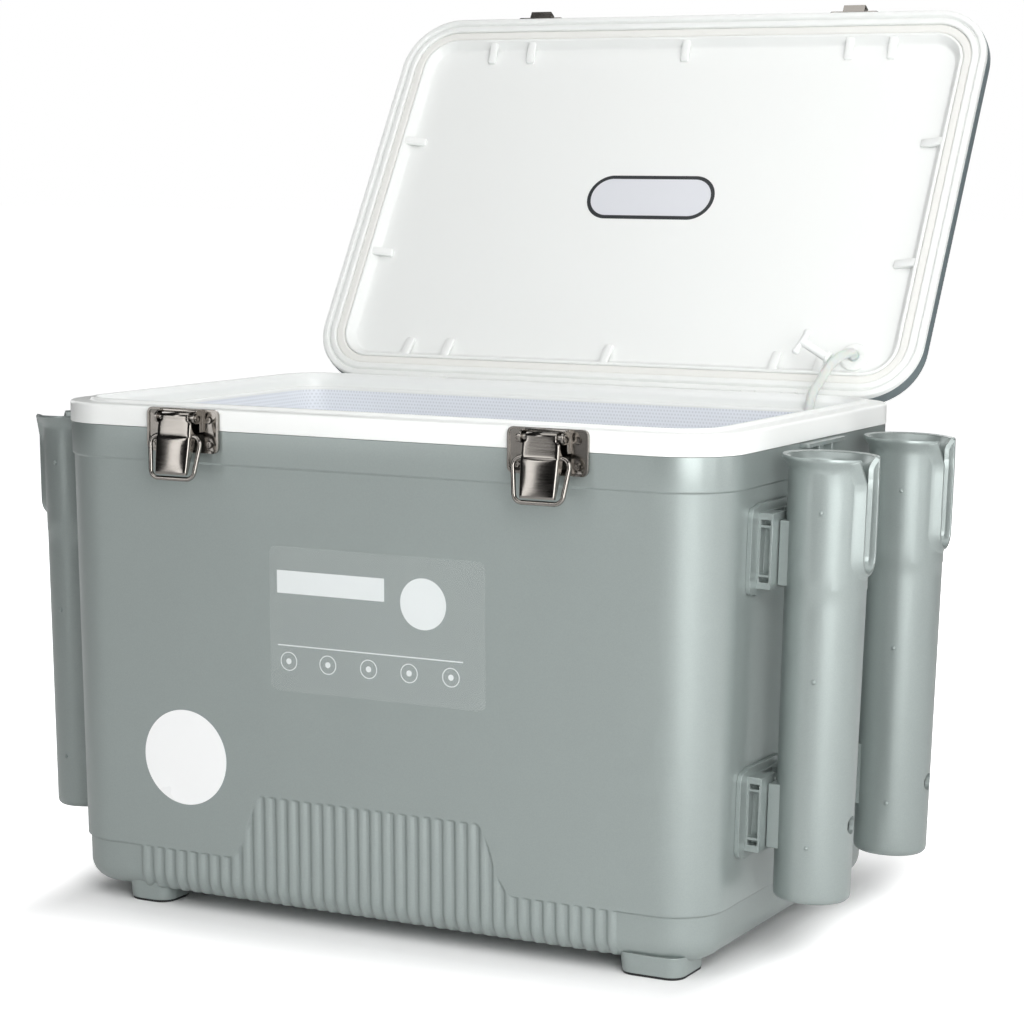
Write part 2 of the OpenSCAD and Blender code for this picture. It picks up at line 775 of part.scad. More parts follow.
module lid_insulation() {
    inner_r = lid_edge_r - lid_shell_t - seam_gap;
    low = panel_back_z + seam_gap;
    color(foam_white) swung() difference() {
        union() {
            around_core() polygon(concat(
                [[0, low], [recess_low_r - 1.4, low], [recess_r - 1.8, plug_z + seam_gap],
                    [corner_r - lid_shell_t - seam_gap - 0.3, plug_z + seam_gap]],
                arc(lid_arc_r, lid_arc_z, inner_r, 0, 90, 6),
                [[0, lid_top_z - lid_shell_t - seam_gap]]
            ));
            core_plate(low, lid_top_z - lid_shell_t - seam_gap);
        }
        lid_port(port_r);
        at_keeper_screws() translate([0, 0, -12]) cylinder(r = screw_r, h = 14);
        at_arm_screws() translate([0, 0, -9]) cylinder(r = screw_r, h = 11);
        at_pump_screws() translate([0, 0, -9]) cylinder(r = screw_r, h = 11);
    }
}

module lid_gasket() {
    out = channel_out_r - 0.2;
    inn = channel_in_r + 0.2;
    low = rim_z + bead_h + 0.4;
    color(rim_white) swung() around_core() polygon([
        [out, channel_z - 0.2], [inn, channel_z - 0.2], [inn, low + 0.9], [inn + 1, low],
        [out - 1, low], [out, low + 0.9]
    ]);
}

// ---- Hinges ----

arm_w = hinge_w / 2 - 0.6;
knuckle_gap = 0.4;
arm_screw_z = rim_z + 10.2;
base_screw_z = band_top_z - 7;

module at_base_screws() {
    for (side = [-1, 1])
        for (x = [-12, 12])
            translate([side * hinge_x + x, tub_d / 2 + 2.6, base_screw_z]) rotate([-90, 0, 0]) children();
}

module at_arm_screws() {
    for (side = [-1, 1])
        for (x = [-6, 6])
            translate([side * hinge_x + x, tub_d / 2 + 2.6, arm_screw_z]) rotate([-90, 0, 0]) children();
}

// Knuckle round the hinge axis with a web back to its leaf
module knuckle(x0, x1) {
    translate([x0, hinge_y, hinge_z]) rotate([0, 90, 0]) cylinder(r = knuckle_r, h = x1 - x0);
}

module hinge_bore(r) {
    translate([-hinge_w, hinge_y, hinge_z]) rotate([0, 90, 0]) cylinder(r = r, h = 2 * hinge_w);
}

module hinge_base() {
    y0 = tub_d / 2 + 0.1;
    low = base_screw_z - 6;
    arm = hinge_w / 2 - arm_w / 2 - 0.5;
    color(rim_white) difference() {
        union() {
            translate([-hinge_w / 2, y0, low]) cube([hinge_w, 2.5, hinge_z - low - 2.5]);
            for (side = [-1, 1])
                translate([side * (hinge_w / 2 - arm / 2) - arm / 2, 0, 0]) {
                    knuckle(0, arm);
                    translate([0, y0, hinge_z - 9]) cube([arm, hinge_back, 9]);
                }
        }
        hinge_bore(hinge_pin_r);
        translate([-arm_w / 2 - knuckle_gap, hinge_y, hinge_z]) rotate([0, 90, 0])
            cylinder(r = knuckle_r + knuckle_gap, h = arm_w + 2 * knuckle_gap);
        for (x = [-12, 12])
            translate([x, y0 - 1, base_screw_z]) rotate([-90, 0, 0]) cylinder(r = screw_r, h = 5);
    }
}

module hinge_arm() {
    y0 = tub_d / 2 + 0.1;
    color(rim_white) swung() difference() {
        union() {
            knuckle(-arm_w / 2, arm_w / 2);
            translate([-arm_w / 2, y0, rim_z + 1]) cube([arm_w, 2.5, 13]);
            translate([-arm_w / 2, y0, rim_z + 0.6]) cube([arm_w, hinge_back - 0.4, 3.4]);
            translate([-arm_w / 2, hinge_y - 2.4, hinge_z]) cube([arm_w, knuckle_r + 2.2, 7.6]);
        }
        hinge_bore(hinge_pin_r + pin_gap);
        for (x = [-6, 6])
            translate([x, y0 - 1, arm_screw_z]) rotate([-90, 0, 0]) cylinder(r = screw_r, h = 5);
    }
}

module hinge_pin() {
    color(steel) translate([-hinge_w / 2 - 1, hinge_y, hinge_z]) rotate([0, 90, 0]) {
        cylinder(r = hinge_pin_r, h = hinge_w + 2);
        translate([0, 0, -1]) cylinder(r = hinge_pin_r + 1, h = 1);
        translate([0, 0, hinge_w + 2]) cylinder(r = hinge_pin_r + 1, h = 1);
    }
}

module hinge_base_screws() {
    color(steel) at_base_screws() cross_screw(screw_r, 2.4, 1.4, 8);
}

module hinge_arm_screws() {
    color(steel) swung() at_arm_screws() cross_screw(screw_r, 2.4, 1.4, 8);
}

// ---- Latches ----

module latch_plate() {
    bridge_y = 4.4;
    color(steel) difference() {
        union() {
            translate([0, latch_back_y, latch_z]) rotate([90, 0, 0])
                linear_extrude(latch_t) rounded_rect(latch_w, latch_h, 4);
            translate([0, latch_back_y, latch_z]) rotate([90, 0, 0])
                linear_extrude(latch_t + 1) difference() {
                    rounded_rect(latch_w, latch_h, 4);
                    rounded_rect(latch_w - 3, latch_h - 3, 2.5);
                }
            for (side = [-1, 1])
                translate([side * (ear_x + 0.7) - 0.7, 0, 0]) latch_ear();
            translate([-ear_x - 1.4, plate_face_y - bridge_y, rim_z - 1.6])
                cube([2 * ear_x + 2.8, bridge_y + 0.6, latch_t]);
        }
        translate([-20, latch_pin_y, latch_pin_z]) rotate([0, 90, 0]) cylinder(r = latch_pin_r, h = 40);
        for (p = latch_screw_at)
            translate([p[0], plate_face_y - 2, latch_z + p[1]]) rotate([-90, 0, 0])
                cylinder(r = screw_r, h = 5);
    }
}

// Ear that carries the pin: a sheet with a round nose
module latch_ear() {
    translate([0, latch_pin_y, latch_pin_z]) rotate([0, 90, 0]) cylinder(r = 3.8, h = 1.4);
    translate([0, latch_pin_y, latch_pin_z - 3.8]) cube([1.4, plate_face_y - latch_pin_y + 0.4, 8.3]);
    translate([0, plate_face_y - 3, latch_pin_z - 9.4]) cube([1.4, 3.4, 6]);
}

module latch_pin() {
    head_h = 0.9;
    half = ear_x + 2.2;
    color(steel) translate([0, latch_pin_y, latch_pin_z]) rotate([0, 90, 0]) {
        translate([0, 0, -half]) cylinder(r = latch_pin_r, h = 2 * half);
        for (side = [-1, 1])
            translate([0, 0, side * (half + 0.2 - head_h / 2) - head_h / 2])
                cylinder(r = latch_pin_r + 0.8, h = head_h);
    }
}

// Lever: a sheet curled round the pin, creased, with a folded flange down each side
curl_r = 3.4;
neck_w = lever_w - 4;
crease_y = -4.6;
crease_z = -12;

module lever_sheet(w, points) {
    rotate([90, 0, 90]) linear_extrude(w, center = true) polygon(points);
}

module latch_lever() {
    flange_t = latch_t;
    flange = lever_w / 2 - flange_t / 2;
    pivot_y = bail_pivot_y - latch_pin_y;
    pivot_z = bail_pivot_z - latch_pin_z;
    low = -lever_len;
    color(steel) translate([0, latch_pin_y, latch_pin_z]) difference() {
        union() {
            rotate([0, 90, 0]) cylinder(r = curl_r, h = neck_w, center = true);
            lever_sheet(neck_w, [[-curl_r, 0.4], [crease_y, crease_z], [crease_y + latch_t, crease_z - 0.2],
                [-curl_r + latch_t, -0.4]]);
            lever_sheet(lever_w, [[crease_y + 0.3, crease_z + 3.8], [crease_y, crease_z],
                [toe_y, low + 1], [toe_y + 0.2, low], [toe_y + latch_t, low],
                [crease_y + latch_t, crease_z - 0.2], [crease_y + latch_t + 0.3, crease_z + 3.8]]);
            for (side = [-1, 1])
                translate([side * flange, 0, 0]) lever_sheet(flange_t, [
                    [crease_y + 0.5, crease_z + 3.8], [pivot_y + 3, crease_z + 3.2],
                    [pivot_y + 3.4, pivot_z - 2], [toe_y + 3.2, low + 2], [toe_y + 0.4, low],
                    [crease_y + 0.2, crease_z]
                ]);
        }
        rotate([0, 90, 0]) cylinder(r = latch_pin_r + pin_gap, h = 40, center = true);
        translate([0, pivot_y, pivot_z]) rotate([0, 90, 0])
            cylinder(r = bail_wire_r + pin_gap, h = 40, center = true);
        translate([0, 0.1, -7]) cube([neck_w + 1, 2.2 * latch_pin_r, 9], center = true);
    }
}

// Bail: a closed loop of wire, drawn in its own plane with the pivot bar along X.
// The straight runs reach a little way into the bends, which are a hair thinner.
bend_weld = 0.4;
bend_wire_r = bail_wire_r - 0.07;

module wire_run(a, b) {
    way = unit(b - a);
    translate([a[0] - way[0] * bend_weld, 0, a[1] - way[1] * bend_weld])
        rotate([0, atan2(way[0], way[1]), 0])
            cylinder(r = bail_wire_r, h = norm(b - a) + 2 * bend_weld);
}

module wire_bend(at, r, a0, sweep) {
    translate([at[0], 0, at[1]]) rotate([90, 0, 0]) rotate([0, 0, a0])
        rotate_extrude(angle = sweep) translate([r, 0]) circle(bend_wire_r, $fn = 24);
}

module latch_bail() {
    top = bail_top_w / 2 - bail_wire_r;
    end = bail_end_w / 2 - bail_wire_r;
    bend = 5.5;
    lean = atan2(top - end, bail_len);
    // Centres of the bends, set in from the slanted sides
    up = [top - bend / cos(lean) - bend * tan(lean), -bend];
    low = [top - bend / cos(lean) - (bail_len - bend) * tan(lean), bend - bail_len];
    out = bend * [cos(lean), -sin(lean)];
    color(steel) translate([0, bail_pivot_y, bail_pivot_z]) rotate([-bail_tilt, 0, 0]) {
        wire_run([-up[0], 0], [up[0], 0]);
        wire_run([-low[0], -bail_len], [low[0], -bail_len]);
        for (side = [0, 1])
            mirror([side, 0, 0]) {
                wire_bend(up, bend, -lean, 90 + lean);
                wire_bend(low, bend, -90, 90 - lean);
                wire_run(low + out, up + out);
            }
    }
}

module latch_screws() {
    color(steel) at_latch_screws() cross_screw(screw_r, 2.5, 1.5, 8);
}

// Keeper on the lid: a screwed plate with a lip that turns up in front of the bail
module keeper() {
    gap = 0.35;
    bar = 2 * bail_wire_r + 2 * gap;
    low = keeper_z - 5.2;
    translate([0, front_y - 0.1, keeper_z]) rotate([90, 0, 0]) difference() {
        linear_extrude(latch_t) rounded_rect(38, 9, 2);
        for (x = [-14, 14])
            translate([x, 0, -1]) cylinder(r = screw_r, h = 5);
    }
    translate([-8.5, front_y - 0.1 - 2 * latch_t - bar, low]) cube([17, 2 * latch_t + bar, latch_t]);
    translate([-8.5, front_y - 0.1 - 2 * latch_t - bar, low]) cube([17, latch_t, 6.4]);
}

module at_keeper_screws() {
    for (side = [-1, 1])
        for (x = [-14, 14])
            translate([side * latch_x + x, front_y - 0.1 - latch_t, keeper_z]) rotate([90, 0, 0]) children();
}

module latch_keepers() {
    color(steel) swung()
        for (side = [-1, 1])
            translate([side * latch_x, 0, 0]) keeper();
}

module keeper_screws() {
    color(steel) swung() at_keeper_screws() cross_screw(screw_r, 2.4, 1.3, 9);
}

// ---- Rod holders ----

module slot_outline(grow) {
    half = slot_half + grow;
    translate([0, holder_slot_z]) circle(half);
    polygon([
        [-half, holder_slot_z], [half, holder_slot_z], [half, 1], [half + 8.4, holder_mouth],
        [half + 8.4, holder_mouth + 4 - 4 * sign(grow)], [-half - 8.4, holder_mouth + 4 - 4 * sign(grow)],
        [-half - 8.4, holder_mouth], [-half, 1]
    ]);
}

// An outline in Y and Z, pushed out along X
module pushed_out(x0, x1) {
    translate([x0, 0, 0]) rotate([90, 0, 90]) linear_extrude(x1 - x0) children();
}

module holder_tube() {
    lip = holder_lip_r;
    rotate_extrude($fn = 64) polygon(concat(
        [[0, holder_end]],
        arc(holder_low_r - 4, holder_end + 4, 4, -90, 0, 4),
        [
            [holder_top_r, 2], [holder_top_r + 0.6, 7], [holder_top_r + 2, 12], [lip - 1.4, 16],
            [lip - 0.3, 17.2], [lip, 18.4], [lip - 0.5, 19.6], [lip - 1.4, holder_mouth],
            [lip - 2.6, holder_mouth], [holder_bore_r + 2.6, 13], [holder_bore_r, 4],
            [holder_bore_r, holder_end + 7], [0, holder_end + 7]
        ]
    ));
}

module rod_holder() {
    lip_out = 29.4;
    color(shell_grey) difference() {
        union() {
            holder_tube();
            difference() {
                pushed_out(18, lip_out) slot_outline(2.4);
                translate([0, 0, holder_end + 7]) cylinder(r = holder_bore_r, h = holder_len);
                translate([0, 0, 12.8]) cylinder(r1 = holder_bore_r + 2.4, r2 = holder_lip_r - 2.6, h = 7.4);
            }
            for (mid = [bracket_mid, bracket_mid - bracket_pitch])
                difference() {
                    union() {
                        translate([-holder_out + block_x + 0.3, -slide_w / 2, mid - 1.5 - slide_h / 2])
                            cube([holder_out - block_x - 12, slide_w, slide_h]);
                        holder_rail(mid);
                    }
                    translate([0, 0, holder_end]) cylinder(r = holder_bore_r + 1, h = holder_len);
                }
            for (z = [-12.5, -114.5, -216.5])
                translate([0, 0, z]) rotate([90, 0, 10]) cylinder(r1 = 1.5, r2 = 0.9, h = holder_top_r + 0.5);
        }
        translate([0, 0, holder_end + 7]) cylinder(r = holder_bore_r, h = holder_len - 15);
        pushed_out(10, lip_out + 2) slot_outline(0);
        translate([0, 0, holder_end + 48]) rotate([0, 90, 0]) cylinder(r = drain_r, h = 40);
    }
}

module holder_rail(mid) {
    low = mid - block_h / 2 + rail_stop + rail_gap;
    high = mid + block_h / 2 - 3;
    head = rail_head_w - 2 * rail_gap;
    neck = rail_neck_w - 2 * rail_gap;
    translate([-holder_out + rail_head_x + rail_gap, -head / 2, low])
        cube([rail_neck_x - rail_head_x - 2 * rail_gap, head, high - low]);
    translate([-holder_out + rail_head_x + rail_gap, -neck / 2, low])
        cube([block_x - rail_head_x + 1, neck, high - low]);
}

module placed_holder(side, row) {
    on_side_wall(side, row * holder_pitch / 2) translate([holder_out, 0, 0]) rod_holder();
}

// One bracket: base plate, socket block with an undercut channel, side pockets with ribs
module rod_bracket(mid) {
    high = block_h / 2;
    translate([0, 0, mid]) difference() {
        union() {
            pushed_out(0.1, bracket_t) rounded_rect(bracket_w, bracket_h, 8);
            translate([bracket_t - 1, -block_w / 2, -high]) cube([block_out + 1, block_w, block_h]);
        }
        translate([rail_head_x, -rail_head_w / 2, -high + rail_stop])
            cube([rail_neck_x - rail_head_x, rail_head_w, block_h]);
        translate([rail_head_x, -rail_neck_w / 2, -high + rail_stop]) cube([20, rail_neck_w, block_h]);
        for (side = [-1, 1])
            difference() {
                translate([bracket_t + 1.4, side * (block_w / 2 - 3) - 5, -high + 4])
                    cube([block_out - 2.8, 10, block_h - 8]);
                for (dz = [-high + 8, high - 8])
                    translate([bracket_t + 1, side * (block_w / 2 - 6) - 6, dz - 0.7]) cube([block_out, 12, 1.4]);
                translate([0, side * (block_w / 2 - 10) - 3, -high]) cube([block_x, 6, block_h]);
            }
        for (dz = bracket_screw_at)
            translate([-1, 0, dz]) rotate([0, 90, 0]) cylinder(r = screw_r, h = bracket_t + 8);
        for (dz = bracket_screw_at)
            translate([rail_head_x - 1.4, 0, dz]) rotate([0, 90, 0]) cylinder(r = 3.1, h = 8);
    }
}

module placed_brackets(side, row) {
    color(shell_grey) on_side_wall(side, row * holder_pitch / 2)
        for (mid = [bracket_mid, bracket_mid - bracket_pitch]) rod_bracket(mid);
}

module bracket_screws() {
    color(steel)
        for (side = [-1, 1])
            for (row = [-1, 1])
                at_bracket_screws(side, row * holder_pitch / 2)
                    translate([0, 0, rail_head_x - bracket_t - 1.4]) {
                        translate([0, 0, -7]) cylinder(r = screw_r, h = 7.6);
                        cylinder(r = 3, h = 1.2);
                    }
}

// ---- Air line ----

module lid_grommet() {
    out_z = lid_top_z;
    sleeve_r = port_r - 0.1;
    color(rim_white) swung() translate([port_x, port_y, 0]) rotate_extrude() polygon([
        [elbow_r, grommet_face_z + 0.6], [elbow_r + 1.2, grommet_face_z],
        [grommet_r - 1.2, grommet_face_z], [grommet_r, grommet_face_z + 1.2],
        [grommet_r, panel_face_z - 0.1], [sleeve_r, panel_face_z - 0.1],
        [sleeve_r, out_z + 0.1], [grommet_r, out_z + 0.1], [grommet_r - 1, out_z + 2], [elbow_r, out_z + 2]
    ]);
}

module outlet_elbow() {
    bend = 6;
    color(hose_clear) swung() difference() {
        union() {
            translate([port_x, port_y, grommet_face_z]) cylinder(r = elbow_r, h = nozzle_z - bend - grommet_face_z);
            translate([port_x, port_y - bend, nozzle_z - bend]) rotate([0, 0, 90]) rotate([90, 0, 0])
                rotate_extrude(angle = 90) translate([bend, 0]) circle(elbow_r);
            translate([port_x, pump_y1 + 0.2, nozzle_z]) rotate([-90, 0, 0])
                cylinder(r = elbow_r, h = port_y - bend - pump_y1 - 0.2);
        }
        translate([port_x, port_y, grommet_face_z - 1])
            cylinder(r = 2, h = nozzle_z - bend - grommet_face_z + 1);
    }
}

// Round tube swept along a route of points, with the frames carried from ring to ring
function unit(v) = v / norm(v);
function smooth_at(p, i, t) =
    let (n = len(p), a = p[max(i - 1, 0)], b = p[i], c = p[i + 1], d = p[min(i + 2, n - 1)])
    0.5 * ((2 * b) + (c - a) * t + (2 * a - 5 * b + 4 * c - d) * t * t
        + (3 * b - a - 3 * c + d) * t * t * t);
function smooth_path(p, steps) = concat(
    [for (i = [0:len(p) - 2]) for (k = [0:steps - 1]) smooth_at(p, i, k / steps)],
    [p[len(p) - 1]]
);
function tangents(p) = [for (i = [0:len(p) - 1])
    unit(p[min(i + 1, len(p) - 1)] - p[max(i - 1, 0)])];
function carried(t, i, side) =
    i == len(t) ? [] :
    let (s = unit(side - (side * t[i]) * t[i])) concat([s], carried(t, i + 1, s));

module tube(route, d, sides, steps, first, last) {
    p = smooth_path(route, steps);
    t0 = tangents(p);
    t = concat([first], [for (i = [1:len(p) - 2]) t0[i]], [last]);
    s = carried(t, 0, [1, 0.2, 0.1]);
    n = sides;
    rings = len(p);
    points = [for (i = [0:rings - 1]) let (u = s[i], v = cross(t[i], s[i]))
        for (k = [0:n - 1]) p[i] + d / 2 * (u * cos(360 * k / n) + v * sin(360 * k / n))];
    faces = concat(
        [[for (k = [0:n - 1]) k]],
        [for (i = [0:rings - 2]) for (k = [0:n - 1])
            let (a = i * n + k, b = i * n + (k + 1) % n) each [[a, a + n, b + n], [a, b + n, b]]],
        [[for (k = [n - 1:-1:0]) (rings - 1) * n + k]]
    );
    polyhedron(points, faces);
}

module air_hose_top() {
    color(hose_clear) tube(concat([hose_start, hose_second], hose_top_route), hose_d, 10, 3,
        unit(hose_second - hose_start), hose_seam_dir);
}

module air_hose() {
    color(hose_clear) tube(hose_low_route, hose_d, 10, 3, hose_seam_dir, [cos(stone_dir), sin(stone_dir), 0]);
}

module air_stone() {
    color("#7F8E9C") translate(stone_at) rotate([0, 0, stone_dir]) rotate([0, 90, 0]) {
        translate([0, 0, 0.1]) cylinder(r = hose_d / 2 + 0.8, h = 5);
        translate([0, 0, 5]) rotate_extrude() polygon([
            [0, 0], [stone_d / 2 - 2, 0], [stone_d / 2, 2], [stone_d / 2, stone_len - 2],
            [stone_d / 2 - 2, stone_len], [0, stone_len]
        ]);
    }
}

// Clip on the hose just under its bend: a stub with a T-shaped handle
module hose_clip() {
    bar = unit(clip_to - clip_at);
    along = unit([0.46, 0.24, 0.85]);
    color(rim_white) {
        translate(clip_at) rotate([0, acos(bar[2]), atan2(bar[1], bar[0])]) {
            translate([0, 0, hose_d / 2 + 0.3]) cylinder(r = 4.2, h = 2);
            translate([0, 0, hose_d / 2 + 1]) cylinder(r = 3.1, h = norm(clip_to - clip_at) - hose_d / 2 - 1);
        }
        translate(clip_to) rotate([0, acos(along[2]), atan2(along[1], along[0])]) {
            cylinder(r = 2.2, h = 15, center = true);
            for (z = [-7.5, 7.5])
                translate([0, 0, z]) sphere(2.6, $fn = 24);
        }
    }
}

// ---- Air pump ----

module at_pump_screws() {
    for (x = [-24, 24])
        for (y = [-36, 36])
            translate([pump_x + x, (pump_y0 + pump_y1) / 2 + y, lid_top_z + 0.1]) children();
}

module pump_block(w, l, z0, z1, r) {
    translate([pump_x, (pump_y0 + pump_y1) / 2, z0]) linear_extrude(z1 - z0) rounded_rect(w, l, r);
}

module pump_bracket() {
    color(black) swung() difference() {
        pump_block(pump_w - 6, pump_len - 8, lid_top_z + 0.1, lid_top_z + pump_bracket_t, 6);
        at_pump_screws() {
            translate([0, 0, -1]) cylinder(r = screw_r, h = 5);
            translate([0, 0, pump_bracket_t - 1.4]) cylinder(r = 3.1, h = 5);
        }
    }
}

module pump_screws() {
    color(steel) swung() at_pump_screws() {
        translate([0, 0, -8]) cylinder(r = screw_r, h = 8 + pump_bracket_t - 1);
        translate([0, 0, pump_bracket_t - 1.4]) cylinder(r = 3, h = 1);
    }
}

module pump_case() {
    color(pump_blue) swung() difference() {
        union() {
            difference() {
                pump_block(pump_w, pump_len, pump_z0, pump_seam_z, 8);
                pump_block(pump_w - 2 * pump_t, pump_len - 2 * pump_t, pump_z0 + pump_t, pump_seam_z + 1, 6);
            }
            translate([pump_x - pump_w / 2 + 1, bay_y, pump_z0 + 1])
                cube([pump_w - 2, 1.6, pump_seam_z - pump_z0 - 1]);
            difference() {
                for (y = [3, 16])
                    translate([pump_x - 28, motor_y0 + y, pump_z0 + 1]) cube([24, 2, 13]);
                translate([motor_x, motor_y0 - 2, motor_z]) rotate([-90, 0, 0])
                    cylinder(r = motor_r + 0.1, h = motor_len);
            }
        }
        translate([port_x, pump_y1 - 10, nozzle_z]) rotate([-90, 0, 0]) cylinder(r = 2.6, h = 20);
    }
}

// Outline of the sliding door, with the pump's own rounded corners at its open end
module door_outline(gap) {
    intersection() {
        translate([pump_x - door_w / 2 - gap, pump_y0 - 2, 0])
            square([door_w + 2 * gap, door_l + 2 + gap]);
        translate([pump_x, (pump_y0 + pump_y1) / 2])
            rounded_rect(pump_w - 3.4 + 4 * gap, pump_len + (gap > 0 ? 4 : -0.4), 6.3);
    }
}

module pump_cover() {
    top_in = 1.6;
    opening_w = door_w - 2.4;
    color(pump_blue) swung() difference() {
        union() {
            pump_block(pump_w, pump_len, pump_seam_z + 0.2, pump_z1 - 2, 8);
            pump_block(pump_w - 2 * top_in, pump_len - 2 * top_in, pump_z1 - 2.2, pump_z1, 6.5);
        }
        pump_block(pump_w - 2 * pump_t, pump_len - 2 * pump_t, pump_seam_z - 1, pump_z1 - pump_t - 0.4, 6);
        // Opening over the cells, and the shallow recess that the door slides in
        translate([pump_x - opening_w / 2, pump_y0 + 8, pump_z1 - 6]) cube([opening_w, door_l - 12, 8]);
        translate([0, 0, pump_z1 - 1.6]) linear_extrude(4) door_outline(0.3);
        translate([knob_x, knob_y, pump_z1 - 6]) cylinder(r = 4 + pin_gap, h = 8);
    }
}

module battery_door() {
    color(black) swung() {
        translate([0, 0, pump_z1 - 1.5]) linear_extrude(1.7) door_outline(0);
        for (i = [0:4])
            translate([pump_x - 15, pump_y0 + 6 + 3 * i, pump_z1]) cube([30, 1.4, 0.9]);
    }
}

module battery_cells() {
    color("#C9CCCE") swung()
        for (side = [-1, 1])
            translate([pump_x + side * (cell_r + 0.3), pump_y0 + pump_t + cell_gap, cell_z])
                rotate([-90, 0, 0]) {
                    cylinder(r = cell_r, h = cell_len - 1.5);
                    translate([0, 0, cell_len - 1.6]) cylinder(r = 4.5, h = 1.6);
                }
}

module battery_springs() {
    color(steel) swung()
        for (side = [-1, 1])
            translate([pump_x + side * (cell_r + 0.3), pump_y0 + pump_t + 0.1, cell_z]) rotate([-90, 0, 0]) {
                cylinder(r = 9, h = 0.6);
                translate([0, 0, 0.5]) cylinder(r1 = 7, r2 = 3, h = cell_gap - 0.7);
            }
}

module pump_motor() {
    color(steel) swung() translate([motor_x, motor_y0, motor_z]) rotate([-90, 0, 0]) {
        cylinder(r = motor_r, h = motor_len);
        cylinder(r = 1, h = motor_len + 4.4);
    }
}

module motor_crank() {
    color(brass) swung() translate([motor_x, crank_y, motor_z]) rotate([-90, 0, 0]) difference() {
        union() {
            cylinder(r = 6, h = 3.4);
            translate([crank_throw, 0, 3.2]) cylinder(r = 1.5, h = 3);
        }
        translate([0, 0, -1]) cylinder(r = 1, h = 7);
    }
}

// Rubber diaphragm with its rod, which ends in an eye round the crank pin
module pump_diaphragm() {
    eye_x = motor_x + crank_throw;
    eye_y = crank_y + 3.6;
    color(black) swung() difference() {
        union() {
            translate([eye_x, eye_y, motor_z]) rotate([-90, 0, 0]) cylinder(r = 3.2, h = 2.4);
            translate([eye_x + 2.5, eye_y + 1.2, motor_z]) rotate([0, 90, 0])
                cylinder(r = 1.1, h = chamber_x - eye_x - 3);
            translate([chamber_x - 1.9, eye_y + 1.2, motor_z]) rotate([0, 90, 0])
                cylinder(r1 = 5, r2 = 7.5, h = 1.8);
        }
        translate([eye_x, eye_y - 1, motor_z]) rotate([-90, 0, 0]) cylinder(r = 1.5 + pin_gap, h = 5);
    }
}

module pump_chamber() {
    color("#E7E7E2") swung() difference() {
        translate([chamber_x, bay_y + 12, pump_z0 + pump_t + 0.1]) cube([17, 29.6, 26]);
        translate([port_x, bay_y + 30, nozzle_z]) rotate([-90, 0, 0]) cylinder(r = 2.4, h = 20);
    }
}

module speed_knob() {
    color(black) swung() translate([knob_x, knob_y, 0]) difference() {
        union() {
            translate([0, 0, pump_z1 - 5]) cylinder(r = 4, h = 6);
            translate([0, 0, pump_z1 + 0.3]) cylinder(r1 = knob_r, r2 = knob_r - 1.2, h = 7);
        }
        for (turn = [0:11])
            rotate([0, 0, turn * 30]) translate([knob_r + 0.6, 0, pump_z1]) cylinder(r = 1.6, h = 9);
        translate([-0.6, 3, pump_z1 + 6.6]) cube([1.2, knob_r, 2]);
    }
}

module centred() {
    translate([0, -middle_y, 0]) children();
}

centred() outer_shell();
centred() inner_liner();
centred() tub_insulation();
centred() rubber_feet();
centred() net_bag();
centred() net_welt();
centred() lid_shell();
centred() lid_panel();
centred() lid_insulation();
centred() lid_gasket();
centred() translate([-hinge_x, 0, 0]) hinge_base();  // hinge_base_left
centred() translate([hinge_x, 0, 0]) hinge_base();  // hinge_base_right
centred() translate([-hinge_x, 0, 0]) hinge_arm();  // hinge_arm_left
centred() translate([hinge_x, 0, 0]) hinge_arm();  // hinge_arm_right
centred() translate([-hinge_x, 0, 0]) hinge_pin();  // hinge_pin_left
centred() translate([hinge_x, 0, 0]) hinge_pin();  // hinge_pin_right
centred() hinge_base_screws();
centred() hinge_arm_screws();
centred() translate([-latch_x, 0, 0]) latch_plate();  // latch_plate_left
centred() translate([latch_x, 0, 0]) latch_plate();  // latch_plate_right
centred() translate([-latch_x, 0, 0]) latch_pin();  // latch_pin_left
centred() translate([latch_x, 0, 0]) latch_pin();  // latch_pin_right
centred() translate([-latch_x, 0, 0]) latch_lever();  // latch_lever_left
centred() translate([latch_x, 0, 0]) latch_lever();  // latch_lever_right
centred() translate([-latch_x, 0, 0]) latch_bail();  // latch_bail_left
centred() translate([latch_x, 0, 0]) latch_bail();  // latch_bail_right
centred() latch_screws();
centred() latch_keepers();
centred() keeper_screws();
centred() placed_holder(-1, -1);  // rod_holder_front_left
centred() placed_holder(1, -1);  // rod_holder_front_right
centred() placed_holder(-1, 1);  // rod_holder_rear_left
centred() placed_holder(1, 1);  // rod_holder_rear_right
centred() placed_brackets(-1, -1);  // rod_brackets_front_left
centred() placed_brackets(1, -1);  // rod_brackets_front_right
centred() placed_brackets(-1, 1);  // rod_brackets_rear_left
centred() placed_brackets(1, 1);  // rod_brackets_rear_right
centred() bracket_screws();
centred() lid_grommet();
centred() outlet_elbow();
centred() air_hose_top();
centred() hose_clip();
centred() air_hose();
centred() air_stone();
centred() pump_bracket();
centred() pump_screws();
centred() pump_case();
centred() pump_cover();
centred() battery_door();
centred() battery_cells();
centred() battery_springs();
centred() pump_motor();
centred() motor_crank();
centred() pump_diaphragm();
centred() pump_chamber();
centred() speed_knob();
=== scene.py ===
import bpy
import bmesh
import json
import math
from mathutils import Matrix, Vector, noise

